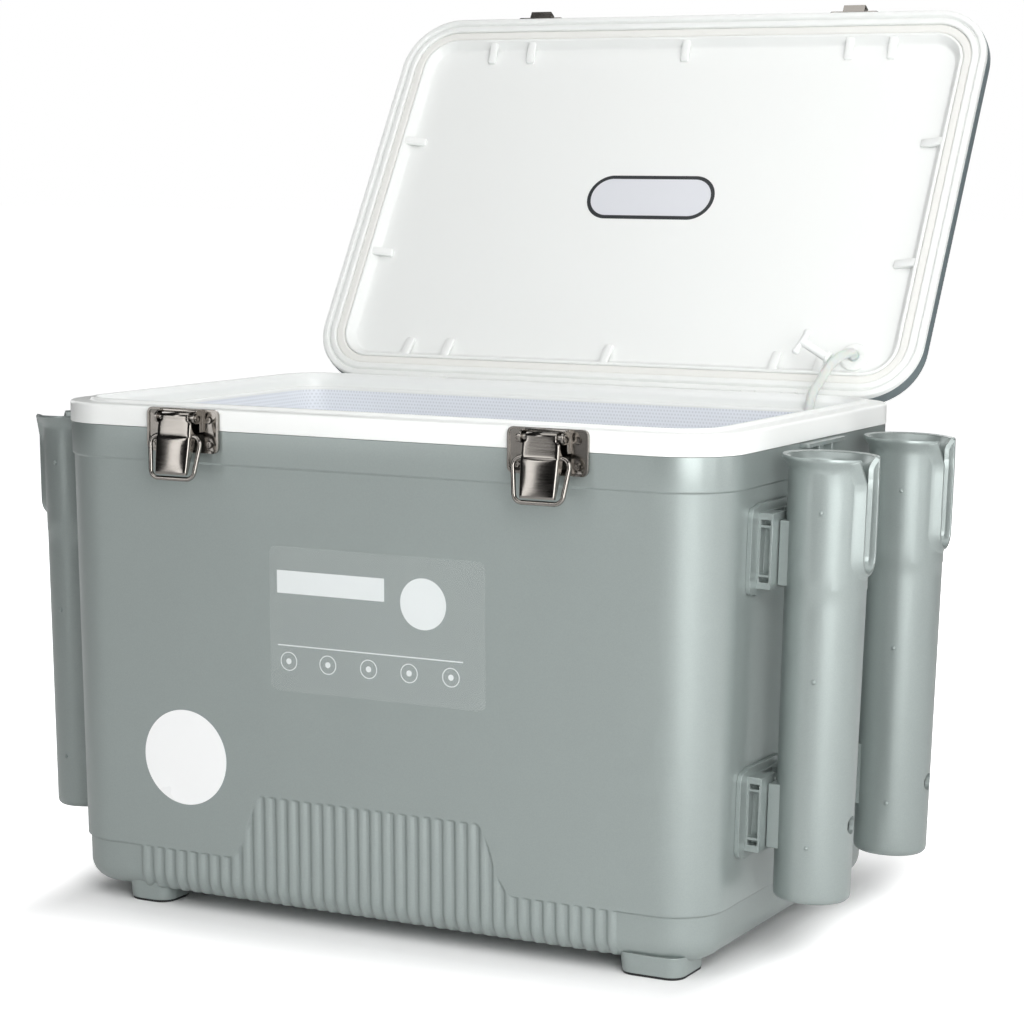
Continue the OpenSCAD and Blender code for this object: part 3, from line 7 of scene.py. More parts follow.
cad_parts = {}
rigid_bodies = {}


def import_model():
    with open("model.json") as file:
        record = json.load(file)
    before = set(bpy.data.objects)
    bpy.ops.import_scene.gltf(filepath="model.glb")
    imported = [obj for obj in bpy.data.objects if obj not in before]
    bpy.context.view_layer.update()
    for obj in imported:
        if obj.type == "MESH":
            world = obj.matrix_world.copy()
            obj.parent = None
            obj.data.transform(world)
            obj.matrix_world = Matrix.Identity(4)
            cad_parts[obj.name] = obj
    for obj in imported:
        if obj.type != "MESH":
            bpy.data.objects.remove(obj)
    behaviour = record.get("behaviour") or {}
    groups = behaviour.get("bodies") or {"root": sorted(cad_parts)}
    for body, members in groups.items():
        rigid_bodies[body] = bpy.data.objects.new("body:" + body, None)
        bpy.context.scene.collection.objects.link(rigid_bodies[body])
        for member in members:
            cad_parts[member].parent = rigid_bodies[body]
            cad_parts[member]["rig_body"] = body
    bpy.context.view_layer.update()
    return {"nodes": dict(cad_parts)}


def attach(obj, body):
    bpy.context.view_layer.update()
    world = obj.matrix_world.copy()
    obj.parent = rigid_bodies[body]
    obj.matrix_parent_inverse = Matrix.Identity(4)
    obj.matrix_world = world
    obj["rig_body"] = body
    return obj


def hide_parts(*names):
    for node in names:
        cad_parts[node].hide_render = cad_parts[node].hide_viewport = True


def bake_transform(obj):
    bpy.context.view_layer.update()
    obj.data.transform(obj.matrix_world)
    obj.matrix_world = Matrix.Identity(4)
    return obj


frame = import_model()
cadNodes = frame["nodes"]
print("frame loaded,", len(cadNodes), "nodes")

# Sizes are in millimetres, as on the drawings; Y is measured from the middle of the tub
middleY = 88.19555
coreX, coreY = 197, 116
draft = math.radians(1.5)
hingeY, hingeZ, lidAngle = 165.5, 326.8, 121
mergeWithin = 2e-6
link = bpy.context.scene.collection.objects.link


def place(x, y, z):
    return Vector((x, y - middleY, z)) / 1000


hingeAt = place(0, hingeY, hingeZ)
lidOpen = (Matrix.Translation(hingeAt) @ Matrix.Rotation(math.radians(-lidAngle), 4, "X")
           @ Matrix.Translation(-hingeAt))


# Materials

def toLinear(hexColour):
    parts = [int(hexColour[i:i + 2], 16) / 255 for i in (1, 3, 5)]
    return [p / 12.92 if p <= 0.04045 else ((p + 0.055) / 1.055) ** 2.4 for p in parts] + [1]


# Settings are properties or sockets by name, links are socket name to output
def addNode(tree, kind, settings=None, links=None):
    node = tree.nodes.new("ShaderNode" + kind)
    for key, value in (settings or {}).items():
        if isinstance(key, str) and hasattr(node, key) and key not in node.inputs:
            setattr(node, key, value)
        else:
            node.inputs[key].default_value = value
    for key, output in (links or {}).items():
        tree.links.new(output, node.inputs[key])
    return node


def newMaterial(name, look):
    material = bpy.data.materials.new(name)
    material.use_nodes = True
    tree = material.node_tree
    tree.nodes.clear()
    shader = addNode(tree, "BsdfPrincipled", look)
    out = addNode(tree, "OutputMaterial", None, {"Surface": shader.outputs[0]})
    return material, tree, shader, out


def addBump(tree, shader, height, distance, strength):
    bump = addNode(tree, "Bump", {"Distance": distance, "Strength": strength}, {"Height": height})
    tree.links.new(bump.outputs[0], shader.inputs["Normal"])


def objectPlace(tree):
    return addNode(tree, "TexCoord").outputs["Object"]


# The size of the noise is in millimetres
def noiseAt(tree, where, size, detail):
    look = {"Scale": 1000 / size, "Detail": detail}
    return addNode(tree, "TexNoise", look, {"Vector": where}).outputs[0]


def mapTo(tree, value, low, high, settings=None):
    reach = {"To Min": low, "To Max": high, **(settings or {})}
    return addNode(tree, "MapRange", reach, {"Value": value}).outputs[0]


def mathOf(tree, operation, numbers, links, kind="Math"):
    node = addNode(tree, kind, {"operation": operation, **numbers}, links)
    return node.outputs["Value" if operation in ("LENGTH", "DISTANCE") else 0]


def mouldedPlastic(name, hexColour, rough, grain, metallic=0.0, coat=0.0):
    # Injection moulded: an even satin skin, very slightly uneven where the melt cooled
    material, tree, shader, out = newMaterial(name, {
        "Base Color": toLinear(hexColour), "Roughness": rough, "Metallic": metallic,
        "Coat Weight": coat, "Coat Roughness": 0.12})
    where = objectPlace(tree)
    unevenness = mapTo(tree, noiseAt(tree, where, 50, 3.0), rough - 0.03, rough + 0.05)
    tree.links.new(unevenness, shader.inputs["Roughness"])
    addBump(tree, shader, noiseAt(tree, where, grain, 2.0), 0.00002, 0.25)
    return material


def pearlPlastic(name, hexColour):
    # Grey polypropylene moulded with aluminium flake: a satin face that brightens in broad streaks
    material, tree, shader, out = newMaterial(name, {
        "Base Color": toLinear(hexColour), "Roughness": 0.34, "Metallic": 0.42,
        "Coat Weight": 0.25, "Coat Roughness": 0.16})
    where = objectPlace(tree)
    flow = addNode(tree, "Mapping", {"Scale": (1, 1, 0.35)}, {"Vector": where})
    cloud = noiseAt(tree, flow.outputs[0], 60, 4.0)
    # The flakes are about 0.05 mm; they are drawn at 0.5 mm so that the sparkle shows at all
    flake = addNode(tree, "TexVoronoi", {"Scale": 1000 / 0.5}, {"Vector": where})
    both = mathOf(tree, "MULTIPLY", {}, {0: mapTo(tree, cloud, 0.965, 1.03),
                                         1: mapTo(tree, flake.outputs["Color"], 0.965, 1.035)})
    shade = addNode(tree, "Mix", {"data_type": "RGBA", "blend_type": "MULTIPLY", 0: 1.0,
                                  6: toLinear(hexColour)}, {7: both})
    tree.links.new(shade.outputs[2], shader.inputs["Base Color"])
    tree.links.new(mapTo(tree, cloud, 0.31, 0.39), shader.inputs["Roughness"])
    addBump(tree, shader, noiseAt(tree, where, 1.2, 2.0), 0.00003, 0.3)
    return material


def pressedSteel(name, hexColour, rough):
    # Pressed and tumbled stainless sheet: bright, with fine rolling lines and soft edges
    material, tree, shader, out = newMaterial(name, {
        "Base Color": toLinear(hexColour), "Roughness": rough, "Metallic": 1.0})
    lines = addNode(tree, "Mapping", {"Scale": (60, 900, 900)}, {"Vector": objectPlace(tree)})
    grain = noiseAt(tree, lines.outputs[0], 1000, 2.0)
    tree.links.new(mapTo(tree, grain, rough - 0.05, rough + 0.09), shader.inputs["Roughness"])
    addBump(tree, shader, grain, 0.00002, 0.35)
    return material


def knittedNet(name, hexColour, hole):
    # Knitted nylon net: round holes in offset rows, so the tank shows through as a fine dotted veil
    material, tree, shader, out = newMaterial(name, {
        "Base Color": toLinear(hexColour), "Roughness": 0.62,
        "Sheen Weight": 0.3, "Sheen Roughness": 0.4})
    where = addNode(tree, "UVMap", {"uv_map": "cloth"})
    rows = mathOf(tree, "SCALE", {"Scale": 1000 / hole}, {0: where.outputs[0]}, "VectorMath")
    parts = addNode(tree, "SeparateXYZ", None, {0: rows})
    rowNumber = mathOf(tree, "FLOOR", {}, {0: parts.outputs["Y"]})
    shift = mathOf(tree, "MULTIPLY_ADD", {1: 0.5}, {0: rowNumber, 2: parts.outputs["X"]})
    spot = addNode(tree, "CombineXYZ", None, {0: mathOf(tree, "FRACT", {}, {0: shift}),
                                              1: mathOf(tree, "FRACT", {}, {0: parts.outputs["Y"]})})
    away = mathOf(tree, "DISTANCE", {1: (0.5, 0.5, 0.0)}, {0: spot.outputs[0]}, "VectorMath")
    knit = mapTo(tree, away, 0.0, 1.0, {"From Min": 0.24, "From Max": 0.36})
    tree.links.new(mapTo(tree, knit, 0.86, 1.0), shader.inputs["Alpha"])
    addBump(tree, shader, knit, 0.00015, 0.4)
    return material


def clearFilm(name, hexColour):
    # Clear vinyl film: all but unseen, with a smoother gloss than the plastic under it
    return newMaterial(name, {"Base Color": toLinear(hexColour), "Roughness": 0.25, "Alpha": 0.045,
                              "Coat Weight": 0.4})[0]


def milkySilicone(name, hexColour):
    # Soft extruded tubing: milky, so that light glows through its wall
    return newMaterial(name, {
        "Base Color": toLinear(hexColour), "Roughness": 0.3, "Transmission Weight": 0.35,
        "IOR": 1.43, "Subsurface Weight": 0.3, "Subsurface Scale": 0.004})[0]


finishes = {
    "mouldedGrey": pearlPlastic("grey_flake_polypropylene", "#969F9D"),
    "lidGrey": mouldedPlastic("grey_moulded_polyethylene", "#6C787B", 0.5, 1.4, 0.1, 0.0),
    "rimWhite": mouldedPlastic("white_moulded_polypropylene", "#F1F3F1", 0.33, 1.6, 0.0, 0.1),
    "sealWhite": mouldedPlastic("white_extruded_foam_rubber", "#ECECE8", 0.7, 0.8),
    "rubber": mouldedPlastic("black_moulded_rubber", "#1B1D1E", 0.65, 0.9),
    "blackPlastic": mouldedPlastic("black_moulded_abs", "#202325", 0.42, 1.0),
    "pumpBlue": mouldedPlastic("blue_moulded_abs", "#3E5F78", 0.4, 1.0),
    "foam": mouldedPlastic("blown_polyurethane_foam", "#EFEBD8", 0.9, 2.0),
    "stone": mouldedPlastic("sintered_mineral", "#7F8E9C", 0.95, 0.9),
    "chamber": mouldedPlastic("ivory_moulded_acetal", "#E2E2DC", 0.45, 1.0),
    "cell": mouldedPlastic("printed_cell_sleeve", "#5C6670", 0.3, 2.0),
    "label": mouldedPlastic("white_vinyl_film", "#F7F8F8", 0.28, 3.0, 0.0, 0.2),
    "labelSilver": mouldedPlastic("pale_grey_vinyl_film", "#DDDFE4", 0.3, 3.0, 0.0, 0.2),
    "print": mouldedPlastic("white_screen_print", "#DCE1E1", 0.35, 3.0),
    "labelBorder": mouldedPlastic("black_vinyl_print", "#24282B", 0.3, 3.0),
    "steel": pressedSteel("pressed_stainless_steel", "#8F8B86", 0.15),
    "film": clearFilm("clear_vinyl_film", "#E9EEEC"),
    "motorSteel": pressedSteel("drawn_steel_can", "#A9ADAF", 0.3),
    "brass": pressedSteel("turned_brass", "#C2A04A", 0.25),
    "net": knittedNet("knitted_nylon_net", "#EEF2F8", 2.4),
    "hose": milkySilicone("milky_extruded_silicone", "#E9EEEA"),
}
print("materials made")


# Modelling helpers

# (out, height, radius) corners; those with a radius become a short arc
def softOutline(points, arcSteps=4):
    made = []
    for i, point in enumerate(points):
        if len(point) < 3 or i in (0, len(points) - 1):
            made.append(Vector(point[:2]))
            continue
        here, back, on = (Vector(p[:2]) for p in (point, points[i - 1], points[i + 1]))
        reach = min(point[2], (back - here).length * 0.45, (on - here).length * 0.45)
        a, b = here + (back - here).normalized() * reach, here + (on - here).normalized() * reach
        for k in range(arcSteps + 1):
            t = k / arcSteps
            made.append(a * (1 - t) ** 2 + here * 2 * t * (1 - t) + b * t * t)
    return made


def edgesOf(geom):
    return [g for g in geom if isinstance(g, bmesh.types.BMEdge)]


def vertsOf(geom):
    return [g for g in geom if isinstance(g, bmesh.types.BMVert)]


def faceOut(bm):
    bmesh.ops.recalc_face_normals(bm, faces=bm.faces)


# Rounds the edges of a block and returns all of its vertices
def roundEdges(bm, edges, verts, width, segments):
    made = bmesh.ops.bevel(bm, geom=edges, offset=width, segments=segments, profile=0.5,
                           affect="EDGES", material=-1)
    whole = {v for f in made["faces"] for v in f.verts} | {v for v in verts if v.is_valid}
    return list({w for v in whole for f in v.link_faces for w in f.verts})


# Extrudes a line of edges by one step and returns the new line
def pushOn(bm, line, way):
    made = bmesh.ops.extrude_edge_only(bm, edges=edgesOf(line))["geom"]
    fresh = set(vertsOf(made))
    bmesh.ops.translate(bm, verts=list(fresh), vec=way)
    return list(fresh) + [e for e in edgesOf(made) if fresh.issuperset(e.verts)]


# Carries a row of points through the rows after it; returns the first and the last row's edges
def carryRows(bm, rows, ring=False):
    order = [bm.verts.new(co) for co in rows[0]]
    first = line = [bm.edges.new(pair) for pair in zip(order, order[1:] + (order[:1] if ring else []))]
    for points in rows[1:]:
        made = bmesh.ops.extrude_edge_only(bm, edges=line)["geom"]
        fresh = set(vertsOf(made))
        order = [next(e.other_vert(v) for e in v.link_edges if e.other_vert(v) in fresh)
                 for v in order]
        for vert, co in zip(order, points):
            vert.co = co
        line = [e for e in edgesOf(made) if fresh.issuperset(e.verts)]
    return first, line


# An outline in distance from the core rectangle and height, carried once round it
def carryRound(outline, ring=False, frontSteps=(394,), sideSteps=(58,) * 4, corner=12):
    bm = bmesh.new()
    start = [bm.verts.new(place(-coreX, -coreY - out, z)) for out, z in outline]
    pairs = list(zip(start, start[1:])) + ([(start[-1], start[0])] if ring else [])
    line = start + [bm.edges.new(pair) for pair in pairs]
    sides = ((frontSteps, (1, 0, 0), (coreX, -coreY)), (sideSteps, (0, 1, 0), (coreX, coreY)),
             ((2 * coreX / 8,) * 8, (-1, 0, 0), (-coreX, coreY)),
             (sideSteps, (0, -1, 0), (-coreX, -coreY)))
    for steps, way, (cornerX, cornerY) in sides:
        for step in steps:
            line = pushOn(bm, line, Vector(way) / 1000 * step)
        centre = place(cornerX, cornerY, 0)
        line = bmesh.ops.spin(bm, geom=line, cent=centre, axis=(0, 0, 1), angle=math.radians(90),
                              steps=corner, use_merge=False)["geom_last"]
    bmesh.ops.remove_doubles(bm, verts=bm.verts, dist=mergeWithin)
    if not ring:
        bmesh.ops.holes_fill(bm, edges=[e for e in bm.edges if e.is_boundary], sides=0)
    faceOut(bm)
    return bm


def finishPiece(bm, name, finish, body=None, swung=False, smooth=32, stands=()):
    if swung:
        bmesh.ops.transform(bm, matrix=lidOpen, verts=bm.verts)
    mesh = bpy.data.meshes.new(name)
    bm.to_mesh(mesh)
    bm.free()
    mesh.materials.append(finishes[finish])
    mesh.shade_smooth()
    mesh.set_sharp_from_angle(angle=math.radians(smooth))
    piece = bpy.data.objects.new(name, mesh)
    link(piece)
    if body:
        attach(piece, body)
    if stands:
        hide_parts(*stands)
    return piece


def addBevel(piece, width, segments=2, angle=40):
    bevel = piece.modifiers.new("edges", "BEVEL")
    bevel.width = width / 1000
    bevel.segments = segments
    bevel.limit_method = "ANGLE"
    bevel.angle_limit = math.radians(angle)


# A copy of a solid with its doubles merged, its flats cleaned and its edges softened
def finishedCopy(node, finish, bevel, smooth=30):
    source = cadNodes[node]
    bm = bmesh.new()
    bm.from_mesh(source.data)
    bmesh.ops.remove_doubles(bm, verts=bm.verts, dist=mergeWithin)
    bmesh.ops.dissolve_limit(bm, angle_limit=math.radians(0.6), verts=bm.verts, edges=bm.edges)
    piece = finishPiece(bm, node + "_dressed", finish, source["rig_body"], smooth=smooth, stands=[node])
    if bevel:
        addBevel(piece, bevel)
    return piece


# A smooth curve through the points, in metres
def smoothPath(points, steps):
    path = [place(*p) for p in points]
    ends = [2 * path[0] - path[1]] + path + [2 * path[-1] - path[-2]]
    made = []
    for i in range(1, len(ends) - 2):
        a, b, c, d = ends[i - 1:i + 3]
        for k in range(steps):
            t = k / steps
            made.append(0.5 * (2 * b + (c - a) * t + (2 * a - 5 * b + 4 * c - d) * t * t
                               + (3 * b - a - 3 * c + d) * t ** 3))
    return made + [path[-1]]


# A round section carried along a path of points; radii is one number or one for each point
def sweepRound(bm, path, radii, sides):
    count = len(path)
    radii = radii if isinstance(radii, list) else [radii] * count
    ways = [(path[min(i + 1, count - 1)] - path[max(i - 1, 0)]).normalized() for i in range(count)]
    turn = Vector((0, 0, 1)).rotation_difference(ways[0]).to_matrix()
    ring = bmesh.ops.create_circle(bm, segments=sides, radius=radii[0])["verts"]
    edges = list({e for v in ring for e in v.link_edges})
    bmesh.ops.transform(bm, matrix=Matrix.Translation(path[0]) @ turn.to_4x4(), verts=ring)
    line = list(ring) + edges
    for i in range(1, count):
        line = pushOn(bm, line, path[i] - path[i - 1])
        step = ways[i - 1].rotation_difference(ways[i]).to_matrix().to_4x4()
        grow = Matrix.Scale(radii[i] / radii[i - 1], 4)
        centre = Matrix.Translation(path[i])
        bmesh.ops.transform(bm, matrix=centre @ step @ grow @ centre.inverted(), verts=vertsOf(line))
    for loop in (edges, edgesOf(line)):
        bmesh.ops.edgeloop_fill(bm, edges=loop)


# Tub: the outer shell, with its low step and the ribbed panel on the front

tub = {"wallTop": 40.6, "bandLow": 296, "bottom": 9, "bottomRound": 15, "stepHeight": 39.6,
       "stepDepth": 1.9, "shapedLow": 9.2, "shapedTop": 92.5, "skin": 2.5, "middle": 0.6}
ribs = {"count": 40, "pitch": 8.7, "radius": 3.5, "proud": 1.9, "top": 82.6, "flatHalf": 76.5,
        "slope": 33.5, "edgeHalf": 0.65, "low": 9.6, "fade": 3.0}


def wallOut(z):
    return tub["wallTop"] - (tub["bandLow"] - z) * math.tan(draft)


roundZ = tub["bottom"] + tub["bottomRound"]
roundOut = wallOut(roundZ) - tub["stepDepth"] - tub["bottomRound"] / math.cos(draft)


# Height at which the wall steps in: level all round, raised in the middle of the front
def stepTop(x, onFront):
    if not onFront:
        return tub["stepHeight"]
    t = 1 - (1 - min(max((abs(x) - ribs["flatHalf"]) / ribs["slope"], 0), 1)) ** 1.5
    ease = 1 - t ** 3 * (t * (6 * t - 15) + 10)
    return tub["stepHeight"] + (ribs["top"] - tub["stepHeight"]) * ease


def risen(z, top, half):
    t = min(max((z - top + half) / (2 * half), 0), 1)
    return t * t * (3 - 2 * t)


def shellOutline():
    under = [(0.5, 9), (roundOut, 9)]
    angles = [math.radians(-90 + 88.5 * i / 14) for i in range(1, 15)]
    turned = [(roundOut + 15 * math.cos(a), roundZ + 15 * math.sin(a)) for a in angles]
    # Rows of points by height, closest where the wall steps in: (first, step, count)
    rows = ((25.2, 1.3, 10), (38.0, 0.42, 9), (42.6, 1.3, 28), (78.6, 0.7, 9), (86, 2.5, 2), (92, 1, 1))
    low = [(wallOut(z + step * i), z + step * i) for z, step, count in rows for i in range(count)]
    high = softOutline([
        (wallOut(93), 93), (wallOut(160), 160), (wallOut(295.5), 295.5, 0.5), (41.9, 296.5, 0.6),
        (42.55, 317.3, 0.5), (39.7, 317.3), (39.7, 327.8), (36.7, 327.8), (36.7, 292),
        (wallOut(24) - 4.6, 24)])
    inside = [(roundOut + 12 * math.cos(math.radians(a)), 24 + 12 * math.sin(math.radians(a)))
              for a in (-30, -60, -90)]
    return under + turned + low + [tuple(p) for p in high] + inside + [(0.5, 12)]


# Steps the wall in at the foot and raises the ribs on the front
def shapeFront(bm):
    reach = math.sqrt(ribs["radius"] ** 2 - (ribs["radius"] - ribs["proud"]) ** 2)
    for vert in bm.verts:
        x, y, z = vert.co.x * 1000, vert.co.y * 1000 + middleY, vert.co.z * 1000
        near = Vector((min(max(x, -coreX), coreX), min(max(y, -coreY), coreY)))
        off = Vector((x, y)) - near
        inside = off.length < wallOut(z) - tub["skin"] and z > roundZ
        if z > tub["shapedTop"] or z < tub["shapedLow"] or inside or off.length < tub["middle"]:
            continue
        onFront = y < -coreY and abs(x) < coreX
        slope = (stepTop(x + 0.5, onFront) - stepTop(x - 0.5, onFront)) if onFront else 0
        inner = 1 - risen(z, stepTop(x, onFront), ribs["edgeHalf"] * math.sqrt(1 + slope * slope))
        out = off.length
        away = off.normalized()
        shift, lift = 0, 0
        if z > roundZ + 0.01:
            shift = -tub["stepDepth"] * inner
            way = Vector((math.cos(draft), -math.sin(draft)))
        else:
            fromRound = Vector((out - roundOut, z - roundZ))
            way = fromRound.normalized()
            if fromRound.length < tub["bottomRound"] - 1:
                continue
        if onFront:
            along = x / ribs["pitch"] + ribs["count"] / 2
            aside = (along - math.floor(along) - 0.5) * ribs["pitch"]
            if 0 <= along < ribs["count"] and abs(aside) < reach:
                height = math.sqrt(ribs["radius"] ** 2 - aside ** 2) - (ribs["radius"] - ribs["proud"])
                height *= min(max((z - ribs["low"]) / ribs["fade"], 0), 1) * inner
                shift += height * way.x
                lift = height * way.y
        moved = near + away * (out + shift)
        vert.co = place(moved.x, moved.y, z + lift)


ribSteps = (8, 15) + (348 / 620,) * 620 + (15, 8)
shellMesh = carryRound(shellOutline(), frontSteps=ribSteps, corner=14)
shapeFront(shellMesh)
outerShell = finishPiece(shellMesh, "shell_outer", "mouldedGrey", "tub", smooth=50,
                         stands=["outer_shell"])
print("outer shell,", len(outerShell.data.polygons), "faces")


# Tub: feet and strap ledges, which are moulded with the shell

# The photo's left feet are smaller than its right ones: (x, y, side, corner)
feet = {"places": [(-173, 126, 32.5, 10.5), (193, 124, 41, 9.5)], "pad": 1.5, "top": 14, "taper": 2.4,
        "padInset": 0.4}
# Ledges for the shoulder strap's hook, one at each end under the rim, each on two small stays
ledge = {"x": 242, "size": (8, 64), "low": 314.4, "high": 316.8, "corner": 1.6,
         "stayX": 241.5, "stayY": 11, "staySize": (7, 2), "stayLow": 309.6, "stayHigh": 315.4}


def roundedBlock(bm, sizeLow, sizeHigh, z0, z1, cornerRound, at, segments=6):
    made = bmesh.ops.create_cube(bm, size=1)["verts"]
    for v in made:
        size = sizeHigh if v.co.z > 0 else sizeLow
        v.co = Vector((v.co.x * size[0], v.co.y * size[1], z1 if v.co.z > 0 else z0))
    upright = [e for e in bm.edges if e.verts[0] in made and e.verts[1] in made
               and abs(e.verts[0].co.z - e.verts[1].co.z) > 0.5 * (z1 - z0)]
    for v in roundEdges(bm, upright, made, cornerRound, segments):
        v.co = place(v.co.x + at[0], v.co.y + at[1], v.co.z)


bm = bmesh.new()
padMesh = bmesh.new()
for x, y, side, corner in feet["places"]:
    for row in (-1, 1):
        wide, inset = side + feet["taper"], side - feet["padInset"]
        roundedBlock(bm, (side, side), (wide, wide), feet["pad"], feet["top"], corner, (x, row * y))
        roundedBlock(padMesh, (inset, inset), (inset, inset), 0, feet["pad"], corner - 0.2,
                     (x, row * y))
for side in (-1, 1):
    roundedBlock(bm, ledge["size"], ledge["size"], ledge["low"], ledge["high"], ledge["corner"],
                 (side * ledge["x"], 0), 3)
    for y in (-ledge["stayY"], ledge["stayY"]):
        roundedBlock(bm, ledge["staySize"], ledge["staySize"], ledge["stayLow"], ledge["stayHigh"], 0.4,
                     (side * ledge["stayX"], y), 1)
shellFeet = finishPiece(bm, "shell_feet_and_ledges", "mouldedGrey", "tub", smooth=30)
addBevel(shellFeet, 0.7, 3)
footPads = finishPiece(padMesh, "foot_pads", "rubber", "tub", stands=["rubber_feet"])
addBevel(footPads, 0.4, 2)


# Tub: the white rim and the tank are one moulding

rimShape = [
    (0.5, 45), (4.4, 45, 0.1), (13.6, 48.2, 5), (20.45, 318.4, 0.8), (22.7, 319, 0.4),
    (23.0, 328.6, 1.4), (25.2, 331.2, 1.2), (26.0, 333, 0.7), (29.2, 333, 0.8), (30.1, 331, 0.8),
    (43, 331, 2.1), (43, 317.5, 0.5), (40, 317.5), (40, 328), (26, 328), (26, 319), (23.6, 316),
    (14.4, 42.6), (4.4, 42), (0.5, 42)]
bm = carryRound(softOutline(rimShape), frontSteps=(49.25,) * 8, corner=16)
finishPiece(bm, "rim_and_tank", "rimWhite", "tub", smooth=40, stands=["inner_liner"])
print("rim and tank")


# Net, hung on the ledge under the rim

# wave and ripple are its soft folds in millimetres, settle is the height in which they begin
netShape = {"topOut": 18.0, "topZ": 321.2, "taper": 0.0495, "settle": 60, "inward": 1.2,
            "wave": 3.6, "waveSize": (70, 70, 160), "ripple": 0.7, "rippleLength": 11.0, "outMost": 1.6}


def netWallOut(z):
    return netShape["topOut"] - (netShape["topZ"] - z) * netShape["taper"]


netLine = [(netWallOut(z), z) for z in [321.2, 319] + [316 - 8.5 * i for i in range(30)]]
netLine += [(netWallOut(62) - 1.4, 56), (netWallOut(62) - 5.2, 51.5)]
netMesh = carryRound(netLine, frontSteps=(7.88,) * 50, sideSteps=(232 / 30,) * 30, corner=5)
mouth = [f for f in netMesh.faces if len(f.verts) > 8 and f.calc_center_median().z > 0.3]
bmesh.ops.delete(netMesh, geom=mouth, context="FACES_ONLY")
for v in netMesh.verts:
    x, y, z = v.co.x * 1000, v.co.y * 1000 + middleY, v.co.z * 1000
    near = Vector((min(max(x, -coreX), coreX), min(max(y, -coreY), coreY)))
    away = Vector((x, y)) - near
    depth = min(max((319 - z) / netShape["settle"], 0), 1)
    spot = Vector([c / size for c, size in zip((x, y, z), netShape["waveSize"])])
    wave = noise.noise(spot) * netShape["wave"]
    wave += math.sin((x + y * 0.7 + z * 0.12) / netShape["rippleLength"]) * netShape["ripple"]
    wave -= netShape["inward"]
    if away.length > 1:
        away = away.normalized() * min(wave, netShape["outMost"]) * depth
        v.co += Vector((away.x, away.y, 0)) / 1000
net = finishPiece(netMesh, "net_liner", "net", "tub", smooth=80, stands=["net_bag"])
uvs = net.data.uv_layers.new(name="cloth")
for face in net.data.polygons:
    flat = abs(face.normal.z) > 0.7
    alongX = abs(face.normal.y) > abs(face.normal.x)
    for loop in face.loop_indices:
        co = net.data.vertices[net.data.loops[loop].vertex_index].co
        uvs.data[loop].uv = (co.x, co.y) if flat else ((co.x if alongX else co.y), co.z)
bm = carryRound([(20.4 + 2.2 * math.cos(math.radians(a)), 321.4 + 2.2 * math.sin(math.radians(a)))
                 for a in range(0, 360, 30)], ring=True, corner=12)
finishPiece(bm, "net_hem", "rimWhite", "tub", stands=["net_welt"])
print("net")


# Lid

finishedCopy("lid_shell", "lidGrey", 0.0, smooth=40)
panelShape = [
    (0.5, 340), (18.5, 340, 1.4), (22.8, 333.4, 1.2), (24.3, 333.4, 0.4), (24.9, 334.2, 0.3),
    (24.9, 336.5), (31.7, 336.5), (31.7, 332.4, 0.3), (32.5, 331.7, 0.7), (36.0, 331.7, 1.0),
    (36.9, 333.8, 0.5), (37.4, 333.8, 0.4), (38.1, 331.2, 1.0), (42.6, 331.2, 1.6), (42.6, 336),
    (39.9, 336), (39.9, 339.3), (20.6, 339.3), (16.9, 342.5), (0.5, 342.5)]
bm = carryRound(softOutline(panelShape), frontSteps=(49.25,) * 8, corner=20)
# side holds the (distance inward, height) corners of one boss
bosses = {"long": (-165, -131.5, 0, 131.5, 165), "short": (-49.6, 49.6), "width": 6.4, "wallOut": 20.8,
          "side": ((3, 337), (3, 334.2), (-1, 334.6), (-8, 336.3), (-15, 337.6), (-15, 341)),
          "round": 1.1}


# Short ribs that lean on the recess wall, from when the panel was welded to its shell
def addBoss(bm, at, turn):
    side = [bm.verts.new((0, y / 1000, z / 1000)) for y, z in bosses["side"]]
    face = bm.faces.new(side)
    out = bmesh.ops.extrude_face_region(bm, geom=[face])["geom"]
    bmesh.ops.translate(bm, verts=vertsOf(out), vec=(bosses["width"] / 1000, 0, 0))
    verts = list(set(side + vertsOf(out)))
    edges = [e for e in bm.edges if e.verts[0] in verts and e.verts[1] in verts]
    verts = roundEdges(bm, edges, verts, bosses["round"] / 1000, 2)
    move = (Matrix.Translation(place(at[0], at[1], 0)) @ Matrix.Rotation(turn, 4, "Z")
            @ Matrix.Translation((-bosses["width"] / 2000, 0, 0)))
    bmesh.ops.transform(bm, matrix=move, verts=verts)


bossMesh = bmesh.new()
for x in bosses["long"]:
    for side in (-1, 1):
        addBoss(bossMesh, (x, side * (coreY + bosses["wallOut"])), 0 if side > 0 else math.pi)
for y in bosses["short"]:
    for side in (-1, 1):
        addBoss(bossMesh, (side * (coreX + bosses["wallOut"]), y), side * -math.pi / 2)
faceOut(bossMesh)
finishPiece(bm, "lid_inner_panel", "rimWhite", "lid", swung=True, smooth=40, stands=["lid_panel"])
finishPiece(bossMesh, "lid_panel_bosses", "rimWhite", "lid", swung=True, smooth=40)
bm = carryRound(softOutline([(31.5, 336.3), (25.1, 336.3), (25.1, 334.2, 0.6), (26.2, 333.4, 0.5),
                             (30.4, 333.4, 0.5), (31.5, 334.2, 0.6)]), ring=True, corner=16)
finishPiece(bm, "lid_seal", "sealWhite", "lid", swung=True, smooth=50, stands=["lid_gasket"])
print("lid")


